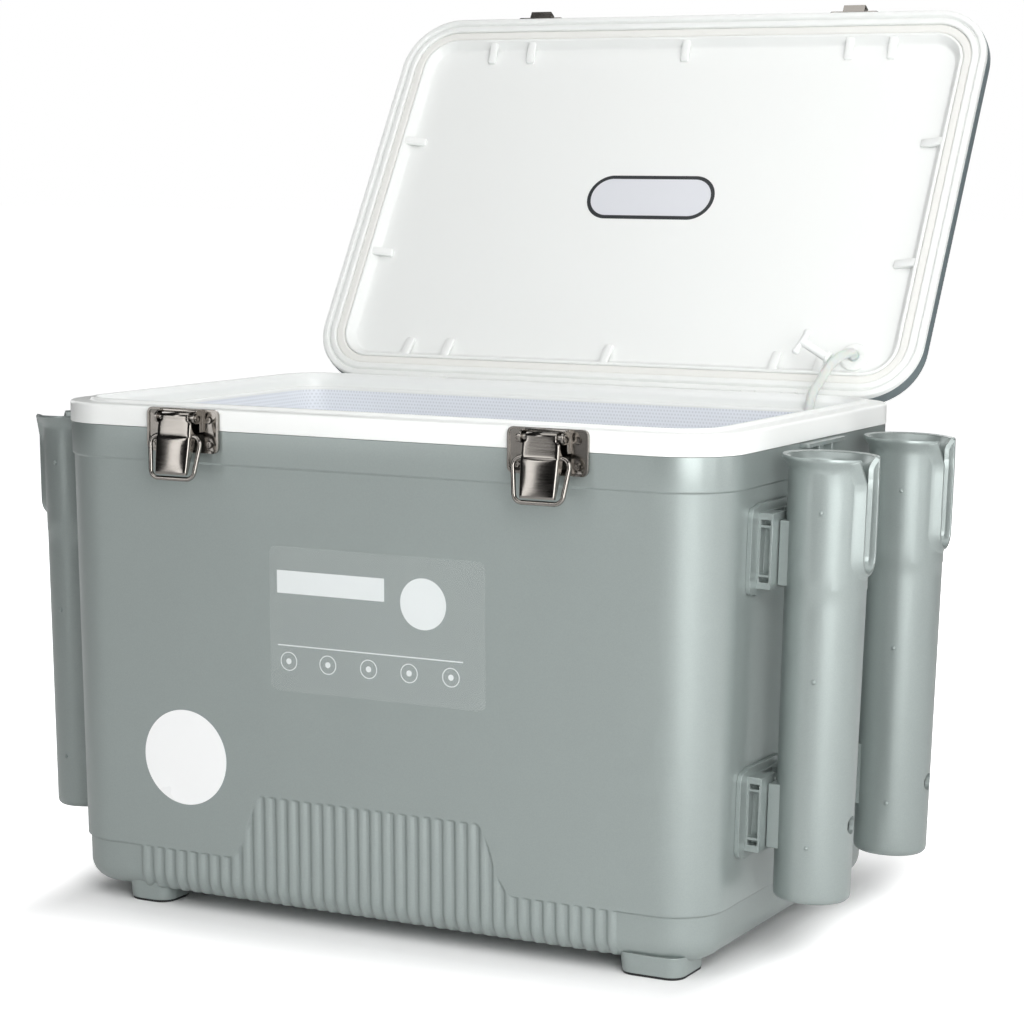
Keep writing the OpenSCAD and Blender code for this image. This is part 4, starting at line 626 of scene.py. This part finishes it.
# Labels and the decal, left blank: (x, z) on the front, with radii and (width, height)
labels = {"round": (-135.4, 102.6), "roundR": 31.4, "lidR": 18.6, "lidStretch": 66, "lidBorder": 3.0,
          "lidAt": (1, -3, 340.01)}
decal = {"film": (8.3, 200.3, 154.5, 93), "filmCorner": 5, "bar": (-24.2, 224.1, 78, 14.6),
         "line": (3.3, 183.4, 133.4, 0.75), "disc": (42.3, 217.4), "discR": 16.2,
         "rings": (-55.3, -26.6, 3.0, 32.0, 61.5), "ringZ": 173.2, "ringR": 6.1, "ringLine": 0.55,
         "dotR": 1.9, "thick": 0.06, "filmProud": 0.01, "proud": 0.08}


def disc(bm, radius, thick, stretch=0):
    ring = bmesh.ops.create_circle(bm, cap_ends=True, segments=96, radius=radius / 1000)["verts"]
    for v in ring:
        v.co.x += math.copysign(stretch / 2000, v.co.x)
    face = list({f for v in ring for f in v.link_faces})
    out = bmesh.ops.extrude_face_region(bm, geom=face)["geom"]
    bmesh.ops.translate(bm, verts=vertsOf(out), vec=(0, 0, thick / 1000))
    faceOut(bm)


# A frame on the drafted front wall, its Z pointing out
def onFront(x, z, proud):
    turn = Matrix.Rotation(math.pi / 2 + draft, 4, "X")
    return Matrix.Translation(place(x, -coreY - wallOut(z) - proud, z)) @ turn


def flatPlate(bm, x, z, width, height, corner, proud):
    made = bmesh.ops.create_cube(bm, size=1)["verts"]
    for v in made:
        v.co = Vector((v.co.x * width, v.co.y * height, (v.co.z + 0.5) * decal["thick"])) / 1000
    if corner:
        edges = [e for e in {e for v in made for e in v.link_edges}
                 if abs(e.verts[0].co.z - e.verts[1].co.z) > decal["thick"] / 2000]
        made = roundEdges(bm, edges, made, corner / 1000, 6)
    bmesh.ops.transform(bm, matrix=onFront(x, z, proud), verts=made)


def flatRing(bm, radius, lineWidth, at):
    old = set(bm.verts)
    ring = bmesh.ops.create_circle(bm, segments=64, radius=radius / 1000)["verts"]
    edges = list({e for v in ring for e in v.link_edges})
    inner = bmesh.ops.extrude_edge_only(bm, edges=edges)["geom"]
    shrink = max(radius - lineWidth, 0.02) / radius
    bmesh.ops.scale(bm, vec=(shrink, shrink, 1), verts=vertsOf(inner))
    faces = [f for f in bm.faces if set(f.verts).isdisjoint(old)]
    top = bmesh.ops.extrude_face_region(bm, geom=faces)["geom"]
    bmesh.ops.translate(bm, verts=vertsOf(top), vec=(0, 0, decal["thick"] / 1000))
    bmesh.ops.transform(bm, matrix=at, verts=[v for v in bm.verts if v not in old])


bm = bmesh.new()
disc(bm, labels["roundR"], 0.14)
bmesh.ops.transform(bm, matrix=onFront(*labels["round"], 0.02), verts=bm.verts)
finishPiece(bm, "label_round", "label", "tub", smooth=30)
bm = bmesh.new()
flatPlate(bm, *decal["film"], decal["filmCorner"], decal["filmProud"])
finishPiece(bm, "decal_film", "film", "tub", smooth=30)
bm = bmesh.new()
disc(bm, decal["discR"], decal["thick"])
bmesh.ops.transform(bm, matrix=onFront(*decal["disc"], decal["proud"]), verts=bm.verts)
for plate in ("bar", "line"):
    flatPlate(bm, *decal[plate], 0, decal["proud"])
for x in decal["rings"]:
    at = onFront(x, decal["ringZ"], decal["proud"])
    flatRing(bm, decal["ringR"], decal["ringLine"], at)
    flatRing(bm, decal["dotR"], decal["dotR"], at)
faceOut(bm)
finishPiece(bm, "decal_plain_shapes", "print", "tub", smooth=30)
for name, finish, height, inset in (("label_lid_border", "labelBorder", 0.12, 0),
                                    ("label_lid", "labelSilver", 0.2, labels["lidBorder"])):
    bm = bmesh.new()
    disc(bm, labels["lidR"] - inset, height, labels["lidStretch"])
    bmesh.ops.rotate(bm, verts=bm.verts, matrix=Matrix.Rotation(math.pi, 3, "X"))
    bmesh.ops.translate(bm, verts=bm.verts, vec=place(*labels["lidAt"]))
    finishPiece(bm, name, finish, "lid", swung=True, smooth=30)
print("labels")


# The solids' own shapes, with softened edges

copied = {
    "steel": ["hinge_pin_left", "hinge_pin_right", "hinge_base_screws", "hinge_arm_screws",
              "latch_plate_left", "latch_plate_right", "latch_pin_left", "latch_pin_right",
              "latch_screws", "latch_keepers", "keeper_screws",
              "latch_bail_left", "latch_bail_right", "bracket_screws", "pump_screws"],
    "rimWhite": ["hinge_base_left", "hinge_base_right", "hinge_arm_left", "hinge_arm_right",
                 "lid_grommet"],
    "mouldedGrey": ["rod_brackets_front_left", "rod_brackets_front_right", "rod_brackets_rear_left",
                    "rod_brackets_rear_right"],
    "blackPlastic": ["battery_door", "speed_knob", "pump_bracket"],
    "pumpBlue": ["pump_case", "pump_cover"],
    "hose": ["outlet_elbow"],
    "rubber": ["pump_diaphragm"],
}
# (where it starts, how far it moves), outermost first, as distances from the bracket's middle
spread = {"pitch": 141, "steps": ((22.5, 11), (10.5, 5))}


# The photo's brackets are wider than the solids: their flanks move out, the channel stays
def spreadBrackets(piece, row):
    middle = row * spread["pitch"] / 2 - middleY
    for v in piece.data.vertices:
        aside = v.co.y * 1000 - middle
        moves = [way for start, way in spread["steps"] if abs(aside) > start]
        if moves:
            v.co.y += math.copysign(moves[0] / 1000, aside)


for finish, names in copied.items():
    for name in names:
        thin = "bail" in name or "screws" in name or "pin" in name
        bevel = 0.9 if "brackets" in name else 0.6 if "latch_plate" in name else 0.3
        piece = finishedCopy(name, finish, 0.0 if thin else bevel)
        if "brackets" in name:
            spreadBrackets(piece, -1 if "front" in name else 1)
# Inner pieces keep the solids themselves
plain = {"foam": ["tub_insulation", "lid_insulation"], "cell": ["battery_cells"],
         "steel": ["battery_springs"], "motorSteel": ["pump_motor"], "brass": ["motor_crank"],
         "chamber": ["pump_chamber"]}
for finish, names in plain.items():
    for name in names:
        cadNodes[name].data.materials.clear()
        cadNodes[name].data.materials.append(finishes[finish])
print("copied pieces")


# Latch levers: a domed sheet with folded flanges, hung from a curl round the pin

# rows run down the lever: (y, z, half width, flange, dome); curl holds (x, radius) along the pin
lever = {"x": 130, "y": -167, "z": 325.8, "sheet": 1.0, "fold": 0.9,
         "rows": [(-3.4, 0.9, 10.4, 0.3, 0), (-3.45, -0.6, 10.4, 0.3, 0), (-3.5, -2.2, 10.6, 0.3, 0),
                  (-3.6, -2.9, 12.4, 0.3, 0), (-4.0, -6.4, 12.5, 0.8, 0), (-4.4, -9.6, 12.5, 3.2, 0),
                  (-4.6, -11.4, 12.6, 4.8, 0), (-5.0, -12.0, 12.6, 5.2, 0.1),
                  (-5.5, -12.8, 12.6, 5.6, 0.5), (-5.7, -14.4, 12.6, 5.8, 0.9),
                  (-6.0, -17.5, 12.5, 5.4, 1.1), (-6.6, -22, 12.3, 4.6, 1.1),
                  (-7.2, -26.5, 12.1, 3.8, 1.0), (-7.8, -31, 11.9, 3.0, 0.7),
                  (-8.3, -34.2, 11.7, 2.4, 0.3), (-8.5, -35.4, 11.6, 2.0, 0.05),
                  (-8.0, -36.0, 11.5, 1.4, 0)],
         "curl": [(-10.3, 3.1), (-10, 3.4), (10, 3.4), (10.3, 3.1)]}


# One row across the lever: a flange's edge, its bend, the domed face, and the same again
def leverLine(y, z, half, flange, dome):
    fold = y + lever["fold"]
    row = [(-half, fold + flange), (-half, fold + flange * 0.5), (-half, fold),
           (-half + 0.25, y + 0.4), (-half + 0.9, y + 0.05)]
    face = [-0.78, -0.52, -0.26, 0, 0.26, 0.52, 0.78]
    middle = [(half * u, y - dome * (1 - (u / 0.93) ** 2) ** 0.7) for u in face]
    return [(x, w, z) for x, w in row + middle] + [(-x, w, z) for x, w in reversed(row)]


for side, sideName in ((-1, "left"), (1, "right")):
    bm = bmesh.new()
    at = Vector((side * lever["x"], lever["y"] - middleY, lever["z"])) / 1000
    carryRows(bm, [[at + Vector(p) / 1000 for p in leverLine(*row)] for row in lever["rows"]])
    faceOut(bm)
    front = min(bm.faces, key=lambda f: f.calc_center_median().y)
    if front.normal.y > 0:
        bmesh.ops.reverse_faces(bm, faces=bm.faces)
    bmesh.ops.solidify(bm, geom=bm.faces[:], thickness=lever["sheet"] / 1000)
    curlPath = [at + Vector((x / 1000, 0, 0)) for x, radius in lever["curl"]]
    sweepRound(bm, curlPath, [radius / 1000 for x, radius in lever["curl"]], 32)
    faceOut(bm)
    finishPiece(bm, "lever_" + sideName, "steel", "lever_" + sideName, smooth=50,
                stands=["latch_lever_" + sideName])
print("levers")


# Rod holders: an open tube with a flared mouth and a slot with a thick edge

# Heights run from the lower edge of the band; blocks are the tongue and the rail, (low, high) corners
holder = {"out": 37.2, "bottom": -252, "mouth": 20, "lowR": 23.6, "topR": 25.4, "lipR": 29.7,
          "wall": 2.9, "flare": 12.6, "knee": 5, "slotHalf": 9.1, "slotCentre": -39.8, "slotWide": 16.1,
          "edgeOut": 27.4, "edgeOutMouth": 24.8, "edgeWide": 2.3, "fillet": 4.4,
          "drain": 5.5, "drainZ": -204, "brackets": (-38.2, -199.7), "pitch": 141,
          "nubs": (-12.5, -114.5, -216.5), "nubTurn": -80, "nubR": 1.4,
          "blocks": (((-24.6, -17, -21.3), (-11, 17, 18.3)), ((-32.3, -9.2, -18.7), (-29.1, 9.2, 20)),
                     ((-32.3, -5.7, -18.7), (-24, 5.7, 20)))}


# A holder's own frame: X leaves the wall, Z climbs it
def onHolder(side, row):
    flip = Matrix.Scale(-1, 4, (1, 0, 0)) if side < 0 else Matrix.Identity(4)
    tilt = Matrix.Rotation(draft, 4, "Y")
    out = Matrix.Translation((holder["out"] / 1000, 0, 0))
    wall = Vector((coreX + tub["wallTop"], row * holder["pitch"] / 2 - middleY, tub["bandLow"])) / 1000
    return flip @ Matrix.Translation(wall) @ tilt @ out


def slotWidthAt(z):
    if z < holder["slotCentre"]:
        return math.sqrt(max(holder["slotHalf"] ** 2 - (z - holder["slotCentre"]) ** 2, 0))
    over = max(z - holder["knee"], 0) / (holder["mouth"] - holder["knee"])
    return holder["slotHalf"] + over * (holder["slotWide"] - holder["slotHalf"])


# Cuts the outer side of the tube by a plane, between two heights
def cutNear(bm, point, way, low, high):
    faces = [f for f in bm.faces if f.calc_center_median().x > 0.012
             and low < f.calc_center_median().z * 1000 < high]
    geom = list({v for f in faces for v in f.verts} | {e for f in faces for e in f.edges}) + faces
    bmesh.ops.bisect_plane(bm, geom=geom, dist=1e-6, plane_co=Vector(point) / 1000, plane_no=way)


def holderTube():
    bm = bmesh.new()
    shape = softOutline([(0.5, holder["bottom"]), (holder["lowR"], holder["bottom"], 4),
                         (24.78, -60.7), (25.06, -59.8), (holder["topR"], 0),
                         (holder["topR"] + 0.1, holder["flare"], 2.6),
                         (holder["lipR"] - 0.7, 17.3, 1.2), (holder["lipR"], 18.6, 0.6),
                         (holder["lipR"] - 0.3, 20)], 3)
    rows = []
    for a, b in zip(shape, shape[1:]):
        count = max(1, int((b - a).length / 9))
        rows += [a + (b - a) * k / count for k in range(count)]
    rows.append(shape[-1])
    line = [bm.verts.new(Vector((r, 0, z)) / 1000) for r, z in rows]
    line += [bm.edges.new(pair) for pair in zip(line, line[1:])]
    bmesh.ops.spin(bm, geom=line, cent=(0, 0, 0), axis=(0, 0, 1), angle=math.tau, steps=112,
                   use_merge=True)
    bmesh.ops.remove_doubles(bm, verts=bm.verts, dist=mergeWithin)
    half, centre, knee = holder["slotHalf"], holder["slotCentre"], holder["knee"]
    slant = Vector((0, holder["mouth"] - knee, half - holder["slotWide"])).normalized()
    cuts = [((0, side * half, 0), (0, 1, 0)) for side in (-1, 1)]
    cuts += [((0, side * half, knee), (0, side * slant.y, slant.z)) for side in (-1, 1)]
    for i in range(9):
        y, z = math.cos(math.radians(-10 - 20 * i)), math.sin(math.radians(-10 - 20 * i))
        cuts.append(((0, half * y, centre + half * z), (0, y, z)))
    for point, way in cuts:
        cutNear(bm, point, way, centre - 16, 30)
    drain, drainZ = holder["drain"], holder["drainZ"]
    for i in range(16):
        y, z = math.cos(math.tau * (i + 0.5) / 16), math.sin(math.tau * (i + 0.5) / 16)
        cutNear(bm, (0, drain * y, drainZ + drain * z), (0, y, z), drainZ - 12, drainZ + 12)
    holes = []
    for face in bm.faces:
        x, y, z = face.calc_center_median() * 1000
        inSlot = z > centre - half and abs(y) < slotWidthAt(z) - 0.05
        if x > 10 and (inSlot or math.hypot(y, z - drainZ) < drain - 0.1):
            holes.append(face)
    bmesh.ops.delete(bm, geom=holes, context="FACES")
    faceOut(bm)
    outward = sum(f.normal.dot(Vector((*f.calc_center_median().xy, 0))) for f in bm.faces)
    if outward < 0:
        bmesh.ops.reverse_faces(bm, faces=bm.faces)
    bmesh.ops.solidify(bm, geom=bm.faces[:], thickness=holder["wall"] / 1000)
    return bm


# The tube's outer radius, with its flare
def tubeOut(z):
    if z < 0:
        rise = (z - holder["bottom"]) / -holder["bottom"]
        return holder["lowR"] + rise * (holder["topR"] - holder["lowR"])
    if z < 17.3:
        return holder["topR"] + max(z - holder["flare"], 0) / 4.7 * 3.6
    return holder["lipR"] - 0.4


# The thick edge that runs down one side of the slot, round its foot and up the other
def slotEdge(bm):
    half, centre, knee = holder["slotHalf"], holder["slotCentre"], holder["knee"]
    lean = math.atan2(holder["slotWide"] - half, holder["mouth"] - knee)
    side = [(slotWidthAt(z), z, lean) for z in (20, 18.6, 17.3, 15, 12.6, 10, 7.5)]
    side += [(half, knee, lean / 2)] + [(half, knee + (centre - knee) * k / 7, 0) for k in range(1, 7)]
    foot = []
    for degrees in range(0, -91, -12):
        a = math.radians(degrees)
        foot.append((half * math.cos(a), centre + half * math.sin(a), a))
    route = [(Vector((y, z)), Vector((math.cos(a), -math.sin(a)))) for y, z, a in side]
    route += [(Vector((y, z)), Vector((math.cos(a), math.sin(a)))) for y, z, a in foot]
    route += [(Vector((0, centre - half)), Vector((0, -1)))]
    route += [(Vector((-p.x, p.y)), Vector((-n.x, n.y))) for p, n in reversed(route[:-1])]

    def section(p, away):
        def skin(reach):
            q = p + away * reach
            return math.sqrt(max(tubeOut(q.y) ** 2 - q.x ** 2, 1))
        over = max(p.y - knee, 0) / (holder["mouth"] - knee)
        out = holder["edgeOut"] + over * (holder["edgeOutMouth"] - holder["edgeOut"])
        wide, fillet = holder["edgeWide"], holder["fillet"]
        rows = [(0, skin(0) - holder["wall"] + 0.3), (0, out - 0.7), (0.25, out - 0.2), (0.8, out),
                (wide - 0.8, out), (wide - 0.25, out - 0.2), (wide, out - 0.8)]
        for k in range(1, 6):
            t = k / 5
            base = skin(wide + fillet * t) - 0.25 * t
            rows.append((wide + fillet * t, base + (out - 0.8 - base) * (1 - t) ** 2.4))
        rows += [(wide + fillet - 0.3, skin(wide + fillet) - 1.6),
                 (wide, skin(wide) - holder["wall"] + 0.4)]
        return [Vector((x, *(p + away * d))) / 1000 for d, x in rows]

    for loop in carryRows(bm, [section(*step) for step in route], ring=True):
        bmesh.ops.edgeloop_fill(bm, edges=loop)


def solidBox(bm, low, high, lift):
    made = bmesh.ops.create_cube(bm, size=1)["verts"]
    for v in made:
        v.co = Vector([a if c < 0 else b for a, b, c in zip(low, high, v.co)]) / 1000
        v.co.z += lift / 1000


for side, sideName in ((-1, "left"), (1, "right")):
    for row, rowName in ((-1, "front"), (1, "rear")):
        which = rowName + "_" + sideName
        edge = bmesh.new()
        slotEdge(edge)
        for lift in holder["brackets"]:
            for low, high in holder["blocks"]:
                solidBox(edge, low, high, lift)
        turn = math.radians(holder["nubTurn"])
        for z in holder["nubs"]:
            at = Vector((tubeOut(z) * math.cos(turn), tubeOut(z) * math.sin(turn), z)) / 1000
            made = bmesh.ops.create_uvsphere(edge, u_segments=12, v_segments=6,
                                             radius=holder["nubR"] / 1000)["verts"]
            bmesh.ops.translate(edge, verts=made, vec=at)
        for mesh, label, bevel in ((holderTube(), "rod_tube_", 0.9), (edge, "rod_tube_edge_", 0.8)):
            bmesh.ops.transform(mesh, matrix=onHolder(side, row), verts=mesh.verts)
            faceOut(mesh)
            piece = finishPiece(mesh, label + which, "mouldedGrey", "holder_" + which, smooth=38,
                                stands=["rod_holder_" + which])
            addBevel(piece, bevel, 3, 50)
print("rod holders")


# Air hose, clip and stone

def swingPoint(x, y, z):
    moved = lidOpen @ place(x, y, z)
    return (moved.x * 1000, moved.y * 1000 + middleY, moved.z * 1000)


hoseRoute = [
    swingPoint(189, 124, 336.9), swingPoint(189, 124, 332.4), (187.4, 184, 359), (185, 175, 356.6),
    (183.2, 166, 352), (182.2, 157, 346), (181.8, 148, 340), (181.7, 140, 336.2), (181.8, 134, 330),
    (182, 129, 321), (181.5, 126.6, 312), (180.5, 125.2, 303), (179.5, 124.3, 295), (177, 121, 270),
    (171, 114, 235), (161, 102, 195), (146, 88, 155), (126, 72, 120), (106, 58, 95), (88, 46, 78),
    (76, 38, 69), (68, 33, 66), (58, 27, 66)]
hosePath = smoothPath(hoseRoute, 6)
hoseDiameter = 0.0065
bm = bmesh.new()
sweepRound(bm, hosePath, hoseDiameter / 2, 20)
faceOut(bm)
hose = finishPiece(bm, "air_hose_run", "hose", None, smooth=60, stands=["air_hose", "air_hose_top"])
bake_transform(hose)

# The clip's stem and its cross bar, and the stone: (way along the axis, radius)
stem = [(3.6, 4.2), (4.2, 4.5), (5.8, 4.5), (6.2, 3.3), (12, 3.1), (20, 2.8)]
bar = [(-10, 0.6), (-9.6, 1.7), (-8.6, 2.5), (-7.4, 2.65), (-6.2, 2.4), (-5.4, 2.1),
       (5.4, 2.1), (6.2, 2.4), (7.4, 2.65), (8.6, 2.5), (9.6, 1.7), (10, 0.6)]
stations = [(0, 4.05), (5, 4.05), (5.2, 7.4), (6, 8.4), (7.5, 9), (37.5, 9), (39, 8.4), (39.8, 7.4)]
clipFrom, clipTo = place(184, 170, 354.4), place(161.5, 167, 367.4)
clipWay, barWay = (clipTo - clipFrom).normalized(), Vector((0.46, 0.24, 0.85)).normalized()
bm = bmesh.new()
sweepRound(bm, [clipFrom + clipWay * (s / 1000) for s, r in stem] + [clipTo],
           [r / 1000 for s, r in stem] + [0.0028], 24)
sweepRound(bm, [clipTo + barWay * s / 1000 for s, r in bar], [r / 1000 for s, r in bar], 20)
faceOut(bm)
clip = finishPiece(bm, "hose_clip_handle", "rimWhite", None, smooth=60, stands=["hose_clip"])
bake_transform(clip)

bm = bmesh.new()
stoneWay, stoneAt = Vector((-10, -6, 0)).normalized(), place(*hoseRoute[-1])
sweepRound(bm, [stoneAt + stoneWay * (s / 1000 + 0.0001) for s, r in stations],
           [r / 1000 for s, r in stations], 32)
faceOut(bm)
stone = finishPiece(bm, "air_stone_dressed", "stone", "tub", smooth=40, stands=["air_stone"])
print("air line")


# Studio

# footprint and shadowReach set where the floor's painted glow fades out round the tub, and so how far
# its shadow shows
studio = {"floor": "#F2F2F2", "room": 0.02, "footprint": (0.215, 0.13, 0.0),
          "shadowReach": (0.075, 0.21, 1.0), "aim": (0, -0.09, 0.28)}


# One for the rays that go straight to the camera or through clear things
def seenRays(tree):
    rays = addNode(tree, "LightPath")
    return mathOf(tree, "MAXIMUM", {}, {0: rays.outputs["Is Camera Ray"],
                                        1: rays.outputs["Is Transmission Ray"]})


bm = bmesh.new()
bmesh.ops.create_grid(bm, x_segments=1, y_segments=1, size=30)
floorMesh = bpy.data.meshes.new("studio_floor")
bm.to_mesh(floorMesh)
bm.free()
floorMaterial, tree, shader, out = newMaterial("matt_white_paper_painted_glow", {
    "Base Color": toLinear(studio["floor"]), "Roughness": 0.9, "Specular IOR Level": 0.2})
# Away from the tub a painted glow lifts the paper to plain white, as in the photo; near the tub the
# glow fades out over shadowReach, so the lamps' shadow stays but how far it reaches is painted
side = mathOf(tree, "ABSOLUTE", {}, {0: objectPlace(tree)}, "VectorMath")
past = mathOf(tree, "SUBTRACT", {1: studio["footprint"]}, {0: side}, "VectorMath")
off = mathOf(tree, "MAXIMUM", {1: (0.0, 0.0, 0.0)}, {0: past}, "VectorMath")
share = mathOf(tree, "DIVIDE", {1: studio["shadowReach"]}, {0: off}, "VectorMath")
far = mathOf(tree, "LENGTH", {}, {0: share}, "VectorMath")
fade = mapTo(tree, far, 0.0, 1.0, {"interpolation_type": "SMOOTHSTEP"})
lift = mathOf(tree, "MULTIPLY", {}, {0: seenRays(tree), 1: fade})
# Painted glow on the floor for camera rays, held back round the tub so that the shade shows only there
paintedGlow = addNode(tree, "Emission", {"Color": (1, 1, 1, 1)}, {"Strength": lift})
both = addNode(tree, "AddShader", None, {0: shader.outputs[0], 1: paintedGlow.outputs[0]})
tree.links.new(both.outputs[0], out.inputs["Surface"])
floorMesh.materials.append(floorMaterial)
floor = bpy.data.objects.new("studio_floor", floorMesh)
floor.location = (0, -middleY / 1000, 0)
link(floor)

world = bpy.data.worlds.new("studio")
bpy.context.scene.world = world
world.use_nodes = True
tree = world.node_tree
tree.nodes.clear()
strength = mapTo(tree, seenRays(tree), studio["room"], 1.0)
background = addNode(tree, "Background", {"Color": (1, 1, 1, 1)}, {"Strength": strength})
addNode(tree, "OutputWorld", None, {"Surface": background.outputs[0]})

# Softboxes round the tub: (azimuth, elevation, distance, width, height, power)
softboxes = {"overhead": (8, 78, 2.4, 2.4, 2.0, 24.9), "strip_front": (35, 16, 1.5, 0.4, 1.2, 8.4),
             "strip_corner": (50, 16, 1.4, 0.4, 1.2, 7.8), "strip_right": (72, 18, 1.5, 0.4, 1.4, 4.3),
             "fill_left": (-30, 18, 2.2, 0.5, 1.8, 7.9), "fill_right": (100, 18, 2.0, 0.6, 1.8, 6.5),
             "fill_back": (186, 26, 2.4, 1.8, 1.4, 17), "fill_back_left": (245, 20, 2.4, 0.9, 1.6, 10)}
for name, (azimuth, elevation, distance, width, height, power) in softboxes.items():
    turn, rise = math.radians(azimuth), math.radians(elevation)
    way = Vector((math.sin(turn) * math.cos(rise), -math.cos(turn) * math.cos(rise), math.sin(rise)))
    light = bpy.data.lights.new(name, "AREA")
    light.shape = "RECTANGLE"
    light.size, light.size_y = width, height
    light.energy = power
    lamp = bpy.data.objects.new(name, light)
    lamp.location = Vector(studio["aim"]) + way * distance
    lamp.rotation_euler = (-way).to_track_quat("-Z", "Y").to_euler()
    lamp.visible_camera = False
    link(lamp)

view = {"lens": 98.1, "at": (868.9, -1637.8, 479.4), "aim": (23.57, 0, 257.5), "roll": 0.47}
camera = bpy.data.cameras.new("camera")
camera.lens = view["lens"]
camera.sensor_width = 36
camera.sensor_fit = "HORIZONTAL"
camera.clip_end = 100
cameraObject = bpy.data.objects.new("camera", camera)
forward = (place(*view["aim"]) - place(*view["at"])).normalized()
right = forward.cross(Vector((0, 0, 1))).normalized()
up = right.cross(forward)
roll = math.radians(view["roll"])
rightRolled = right * math.cos(roll) + up * math.sin(roll)
upRolled = up * math.cos(roll) - right * math.sin(roll)
turned = Matrix((rightRolled, upRolled, -forward)).transposed().to_4x4()
cameraObject.matrix_world = Matrix.Translation(place(*view["at"])) @ turned
link(cameraObject)
bpy.context.scene.camera = cameraObject
bpy.context.scene.view_settings.view_transform = "Standard"
print("studio and camera")
